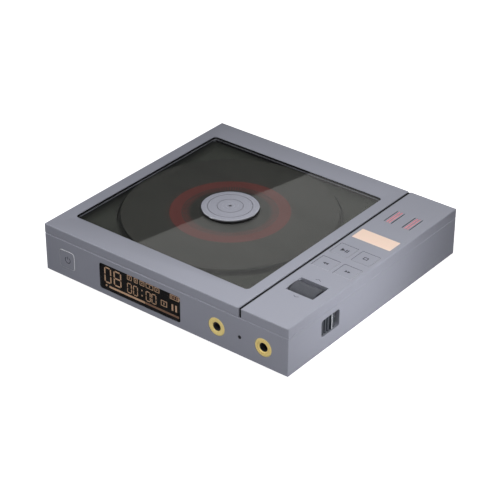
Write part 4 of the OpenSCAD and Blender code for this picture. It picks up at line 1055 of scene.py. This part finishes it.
def make_display():
    glass = slab(
        DISPLAY_LOW, (DISPLAY_HIGH.x, FRONT + GLASS_T * MM, DISPLAY_HIGH.z),
        corner=DISPLAY_CORNER, edge=0.08 * MM, axis="Y",
    )
    place_piece(
        "display_glass_fine", glass, "case", [DISPLAY_GLASS], ("display_window",)
    )
    mask = slab(
        (DISPLAY_LOW.x, FRONT + MASK_DEPTH * MM, DISPLAY_LOW.z),
        (DISPLAY_HIGH.x, DISPLAY_HIGH.y - 0.02 * MM, DISPLAY_HIGH.z),
        corner=DISPLAY_CORNER, axis="Y",
    )
    place_piece("display_mask", mask, "case", [DISPLAY_BLACK])
    thick = FIGURE_T
    lit = digit_bars("0", 42.6, 8.0, 4.9, 9.8, 0.8, thick)
    lit += digit_bars("8", 49.2, 8.2, 5.4, 9.5, 0.8, thick)
    for x in (58.6, 62.85, 71.6, 75.6):
        lit += digit_bars("0", x, 7.7, 3.3, 6.2, 0.52, thick)
    for z in (9.3, 12.5):
        lit.append(bar(68.6, z, 69.45, z + 0.85, thick, corner=0.1))
    lit.append(bar(43.2, 5.65, 44.4, 6.85, thick, corner=0.5))
    lit.append(bar(45.8, 5.45, 71.0, 6.7, thick, corner=0.2))
    for x in (89.3, 91.8):
        lit.append(bar(x, 8.8, x + 1.1, 12.8, thick))
    lit += frame_bars(88.3, 15.75, 94.3, 18.6, 0.36, thick)
    lit.append(bar(94.35, 16.5, 94.9, 17.8, thick))
    for x0, x1 in ((58.8, 62.0), (63.6, 66.2), (67.6, 70.8), (71.8, 77.0), (77.9, 81.1)):
        lit += frame_bars(x0, 15.8, x1, 18.7, 0.38, thick)
        middle = (x0 + x1) / 2
        lit.append(bar(middle - 0.25, 16.7, middle + 0.25, 17.8, thick))
    lit += frame_bars(82.0, 9.1, 86.2, 12.6, 0.42, thick)
    lit.append(bar(83.85, 10.1, 84.35, 11.6, thick))
    dim = [bar(71.3, 5.45, 94.3, 6.7, thick, corner=0.2)]
    for x in (88.95, 90.7, 92.45):
        dim.append(bar(x, 16.45, x + 1.1, 17.9, thick))
    glows = [SEGMENT_LIT, SEGMENT_DIM]
    marks_piece("display_figures", [lit, dim], DISPLAY_PLANE, "case", glows)


make_display()

# Light guides in the middle two slots of each vent, and dark mesh in the outer two
VENT_PITCH = 1.55
VENT_LENGTH = 13.2
VENT_WIDTH = 0.56
VENT_X = 5.775


def make_vent_strips():
    rests_low, rests_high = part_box("valve_rests")
    centre_y = (rests_low.y + rests_high.y) / 2
    glow = bmesh.new()
    mesh = bmesh.new()
    for side in (-1, 1):
        for slot in (-1.5, -0.5, 0.5, 1.5):
            middle = CONTROL_X + (side * VENT_X + slot * VENT_PITCH) * MM
            lit = abs(slot) < 1
            top = TOP - (0.14 if lit else 0.35) * MM
            strip = slab(
                (middle - VENT_WIDTH / 2 * MM, centre_y - VENT_LENGTH / 2 * MM, top - 1.2 * MM),
                (middle + VENT_WIDTH / 2 * MM, centre_y + VENT_LENGTH / 2 * MM, top),
                edge=0.08 * MM,
            )
            join_into(glow if lit else mesh, strip, None, 0)
    place_piece("vent_light_guides", glow, "case", [VENT_GLOW])
    place_piece("vent_mesh", mesh, "case", [DARK_PLASTIC])


make_vent_strips()


# Dark seals sunk in the gaps round the keys and the power button. Black lips at the surface, on the
# keys' left and back sides and the button's right side, are painted shade in those gaps, and so is a
# black strip in the groove beside the lid
SEAL_GAP = 0.19 * MM
SEAL_SUNK = 0.35 * MM
SEAL_THICK = 0.45 * MM
SEAL_PLAY = 0.01 * MM
SHADE_LIP_SUNK = 0.005 * MM
SHADE_LIP_THICK = 0.03 * MM
KEY_SIZE = Vector((11.1 * MM, 10.8 * MM))
KEY_CORNER = 0.7 * MM
POWER_FACE = 11.2 * MM
POWER_CORNER = 2.1 * MM
POWER_SHADE_LIP_INSET = 1.6 * MM


def gap_ring(width, height, corner):
    """A flat ring that fills the gap round a face, but for a little play at the face."""
    part = flat_square(0.5)
    bmesh.ops.scale(
        part, verts=part.verts, vec=(width + 2 * SEAL_GAP, height + 2 * SEAL_GAP, 1)
    )
    round_off(part, part.verts[:], corner, segments=6, affect="VERTICES")
    outline = part.faces[:]
    bmesh.ops.inset_region(
        part, faces=outline, thickness=SEAL_GAP - SEAL_PLAY, use_boundary=True
    )
    bmesh.ops.delete(part, geom=outline, context="FACES_ONLY")
    extrude_up(part, SEAL_THICK)
    return part


def make_seals_and_shade_lips():
    whole = bmesh.new()
    top = TOP - SHADE_LIP_SUNK
    under = top - SHADE_LIP_THICK
    for centre in KEYS.values():
        place = Matrix.Translation((centre.x, centre.y, TOP - SEAL_SUNK - SEAL_THICK))
        join_into(whole, gap_ring(KEY_SIZE.x, KEY_SIZE.y, KEY_CORNER), place, 0)
        low = centre.xy - KEY_SIZE / 2
        high = centre.xy + KEY_SIZE / 2
        # Black lips at the surface on the key's left and back sides: painted shade.
        shade_lips = [
            ((low.x - SEAL_GAP, low.y), (low.x - SEAL_PLAY, high.y + SEAL_GAP)),
            ((low.x, high.y + SEAL_PLAY), (high.x, high.y + SEAL_GAP)),
        ]
        for near, far in shade_lips:
            join_into(whole, slab((*near, under), (*far, top)), None, 0)
    edge = POWER_FACE / 2
    tall = edge - POWER_SHADE_LIP_INSET
    # A black lip at the surface on the button's right side: painted shade.
    right_shade_lip = slab(
        (POWER.x + edge, FRONT + SHADE_LIP_SUNK, POWER.z - tall),
        (POWER.x + edge + SEAL_GAP, FRONT + SHADE_LIP_SUNK + SHADE_LIP_THICK, POWER.z + tall),
    )
    join_into(whole, right_shade_lip, None, 0)
    spot = front_plane(POWER.x, FRONT + SEAL_SUNK + SEAL_THICK, POWER.z)
    join_into(whole, gap_ring(POWER_FACE, POWER_FACE, POWER_CORNER), spot, 0)
    place_piece("gap_seals_and_painted_shade", whole, "case", [TAPE])


make_seals_and_shade_lips()

GROOVE_SIDE = 0.3 * MM
GROOVE_ENDS = 0.7 * MM
GROOVE_SUNK = 0.3 * MM
GROOVE_PLAY = 0.02 * MM


def make_groove_shade_strip():
    lid_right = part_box("lid_frame")[1].x
    panel_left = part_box("control_panel")[0].x
    # A black strip just under the top of the groove beside the lid: painted shade where the groove is
    # dark.
    strip = slab(
        (lid_right + GROOVE_SIDE, FRONT + GROOVE_ENDS, SPLIT + GROOVE_PLAY),
        (panel_left - GROOVE_PLAY, BACK - GROOVE_ENDS, TOP - GROOVE_SUNK),
        edge=0.1 * MM,
    )
    place_piece("groove_painted_shade", strip, "case", [TAPE])


make_groove_shade_strip()


# A painted highlight: a thin light strip on the hold slider's proud rib, for the light its lit side
# catches
SLIDER_FIRST_RIB = 1.3 * MM
SLIDER_RIB_PITCH = 2.4 * MM


def make_slider_highlight():
    rib = HOLD_LOW.y + SLIDER_FIRST_RIB + 3 * SLIDER_RIB_PITCH
    line = slab(
        (HOLD_HIGH.x - 0.02 * MM, rib + 0.35 * MM, HOLD_LOW.z + 1.3 * MM),
        (HOLD_HIGH.x + 0.06 * MM, rib + 0.85 * MM, HOLD_HIGH.z - 1.3 * MM),
        edge=0.02 * MM,
    )
    place_piece("hold_painted_highlight", line, "hold_slider", [SLIDER_PAINTED_HIGHLIGHT])


make_slider_highlight()


# A near-black sheet on the walls inside the lid's rim: painted shade on the walls seen through the
# window
SHADE_LINER_HALF = 62.25 * MM
SHADE_LINER_THICK = 0.25 * MM


def make_shade_liner():
    frame_low = LID_LOW + 0.15 * MM
    ledge = WINDOW_LOW.z - 1.0 * MM
    half = SHADE_LINER_HALF
    inner = half - SHADE_LINER_THICK
    whole = bmesh.new()
    sides = [
        ((-half, -half), (half, -inner)),
        ((-half, inner), (half, half)),
        ((-half, -inner), (-inner, inner)),
        ((inner, -inner), (half, inner)),
    ]
    for near, far in sides:
        near = AXIS.xy + Vector(near)
        far = AXIS.xy + Vector(far)
        side = slab((*near, frame_low), (*far, ledge), edge=0.04 * MM)
        join_into(whole, side, None, 0)
    place_piece("lid_painted_shade_liner", whole, "lid", [SHADE_LINER_PLASTIC])


make_shade_liner()


# Studio: floor, world, lamps and camera
WHITE = (1.0, 1.0, 1.0, 1.0)
WORLD_SHADE = (0.30, 0.31, 0.34, 1)
WORLD_LEVEL = 0.23
FLOOR_GLOW = 0.92
FLOOR_BOUNCE = (0.22, 0.22, 0.23, 1)
FLOOR_HALF = 6.0


def white_for_camera(tree, shade, strength):
    """Plain white where the camera looks straight at it, and the given light for all else."""
    seen = add(tree, "ShaderNodeLightPath").outputs["Is Camera Ray"]
    return blend_colours(tree, seen, shade, WHITE), math_node(tree, "MAXIMUM", seen, strength)


def make_world():
    world = bpy.data.worlds.new("studio")
    bpy.context.scene.world = world
    world.use_nodes = True
    tree = world.node_tree
    tree.nodes.clear()
    way = add(tree, "ShaderNodeTexCoord").outputs["Generated"]
    parts = add(tree, "ShaderNodeSeparateXYZ", {0: way})
    slope = math_node(tree, "SUBTRACT", parts.outputs[0], parts.outputs[1])
    share = smooth_step(tree, slope, -1.3, 1.3)
    shade = blend_colours(tree, share, WORLD_SHADE, WHITE)
    colour, level = white_for_camera(tree, shade, WORLD_LEVEL)
    background = add(tree, "ShaderNodeBackground", {"Color": colour, "Strength": level})
    output = add(tree, "ShaderNodeOutputWorld")
    tree.links.new(background.outputs[0], output.inputs["Surface"])


def make_floor():
    material, tree, shader, place = start_material("studio_floor")
    marks = grain_marks(tree, place, 0.002, 0.3)
    tone = blend_colours(tree, marks["Cloud"], (0.78, 0.78, 0.78, 1), (0.80, 0.80, 0.80, 1))
    seen = add(tree, "ShaderNodeLightPath").outputs["Is Camera Ray"]
    feed(
        tree,
        shader,
        {
            "Base Color": blend_colours(tree, seen, FLOOR_BOUNCE, tone),
            "Roughness": 0.9,
            "Specular IOR Level": 0.0,
            "Emission Color": WHITE,
            "Emission Strength": times(tree, seen, FLOOR_GLOW),
        },
    )
    mesh = as_mesh("studio_floor", flat_square(FLOOR_HALF))
    mesh.materials.append(material)
    floor = new_object("studio_floor", mesh)


def add_lamp(name, place, target, width, height, watts, cone, mirrored):
    data = bpy.data.lights.new(name, "AREA")
    data.shape = "RECTANGLE"
    data.size = width
    data.size_y = height
    data.energy = watts
    data.spread = math.radians(cone)
    lamp = new_object(name, data)
    lamp.location = place
    lamp.rotation_euler = (Vector(target) - Vector(place)).to_track_quat("-Z", "Y").to_euler()
    lamp.visible_camera = False
    lamp.visible_glossy = mirrored
    lamp.visible_transmission = mirrored


# Name, place, target, width, height, watts, cone in degrees, and whether it shows in reflections
LAMPS = [
    ("near_softbox", (0.05, -0.08, 0.26), (0.01, -0.04, 0.02), 0.22, 0.22, 0.05, 180, False),
    ("front_softbox", (0.04, -0.12, 0.20), (0.0, -0.06, 0.02), 0.20, 0.16, 0.28, 180, False),
    ("low_softbox", (0.06, -0.50, 0.07), (0, -0.07, 0.015), 0.3, 0.08, 0.38, 180, False),
    ("right_softbox", (0.75, -0.45, 0.30), (0.08, -0.03, 0.02), 0.3, 0.3, 1.7, 180, False),
    ("right_strip", (0.21, -0.02, 0.05), (0.08, -0.02, 0.015), 0.09, 0.05, 0.062, 90, False),
    ("left_softbox", (-0.60, -0.55, 0.75), (0, 0, 0.02), 0.6, 0.6, 0.8, 180, False),
    ("front_rim_light", (-0.53, -0.50, 0.66), (0, 0, 0.02), 0.26, 0.26, 0.40, 180, True),
    ("right_rim_light", (0.50, 0.67, 0.51), (0, 0, 0.02), 0.26, 0.26, 0.20, 180, True),
    ("left_strip", (-1.1, 0.1, 0.15), (0, 0, 0.02), 0.8, 0.2, 3.5, 180, False),
    ("back_strip", (0.35, 1.1, 0.12), (0, 0, 0.02), 0.8, 0.2, 3.5, 180, False),
]
make_world()
make_floor()
for lamp in LAMPS:
    add_lamp(*lamp)


# The card: its light, its sides, the middle of its left edge, and the ways it runs and faces
CARD_LEVEL = 0.95
CARD_WIDTH = 0.7
CARD_LENGTH = 0.9
CARD_PLACE = (-0.345, 0.404, 0.327)
CARD_ALONG = (0.065, 0.164, -0.021)
CARD_FACING = (0.55, -0.67, -0.50)


def make_card():
    """A bright card that only shows as a reflection in the window."""
    material, tree, shader, place = start_material("reflected_card")
    marks = grain_marks(tree, place, 0.004, 0.2)
    tone = blend_colours(tree, marks["Cloud"], (0.92, 0.92, 0.92, 1), WHITE)
    feed(
        tree,
        shader,
        {"Emission Color": tone, "Emission Strength": CARD_LEVEL, "Base Color": (0, 0, 0, 1)},
    )
    part = flat_square(0.5)
    bmesh.ops.scale(part, verts=part.verts, vec=(CARD_WIDTH, CARD_LENGTH, 1))
    bmesh.ops.translate(part, verts=part.verts, vec=(CARD_WIDTH / 2, 0, 0))
    along = Vector(CARD_ALONG).normalized()
    across = along.cross(Vector(CARD_FACING).normalized()).normalized()
    if across.x < 0:
        across = -across
    outward = across.cross(along)
    matrix = Matrix((across, along, outward)).transposed().to_4x4()
    matrix.translation = Vector(CARD_PLACE)
    bmesh.ops.transform(part, matrix=matrix, verts=part.verts)
    mesh = as_mesh("reflected_card", part)
    mesh.materials.append(material)
    card = new_object("reflected_card", mesh)
    card.visible_camera = False
    card.visible_diffuse = False
    card.visible_shadow = False


make_card()

# The camera, its distance and aim counted in depths of the body
AZIMUTH = math.radians(38.249)
ELEVATION = math.radians(31.262)
ROLL = math.radians(0.155)
DEPTH = BACK - FRONT
DISTANCE = 6.2912 * DEPTH
AIM_LEFT = 0.0068 * DEPTH
AIM_DOWN = 0.0416 * DEPTH
LENS_MM = 125.71
SENSOR_MM = 36.0


def make_camera():
    away = Vector(
        (
            math.sin(AZIMUTH) * math.cos(ELEVATION),
            -math.cos(AZIMUTH) * math.cos(ELEVATION),
            math.sin(ELEVATION),
        )
    )
    level = Vector((math.cos(AZIMUTH), math.sin(AZIMUTH), 0))
    upright = away.cross(level)
    right = math.cos(ROLL) * level + math.sin(ROLL) * upright
    upward = -math.sin(ROLL) * level + math.cos(ROLL) * upright
    middle = Vector(((LEFT + RIGHT) / 2, (FRONT + BACK) / 2, (body_low.z + TOP) / 2))
    target = middle - AIM_LEFT * right - AIM_DOWN * upward
    data = bpy.data.cameras.new("photo_camera")
    data.lens = LENS_MM
    data.sensor_width = SENSOR_MM
    data.clip_start = 0.01
    data.clip_end = 50.0
    camera = new_object("photo_camera", data)
    matrix = Matrix((right, upward, away)).transposed().to_4x4()
    matrix.translation = target + DISTANCE * away
    camera.matrix_world = matrix
    bpy.context.scene.camera = camera


make_camera()
bpy.context.scene.view_settings.view_transform = "Standard"
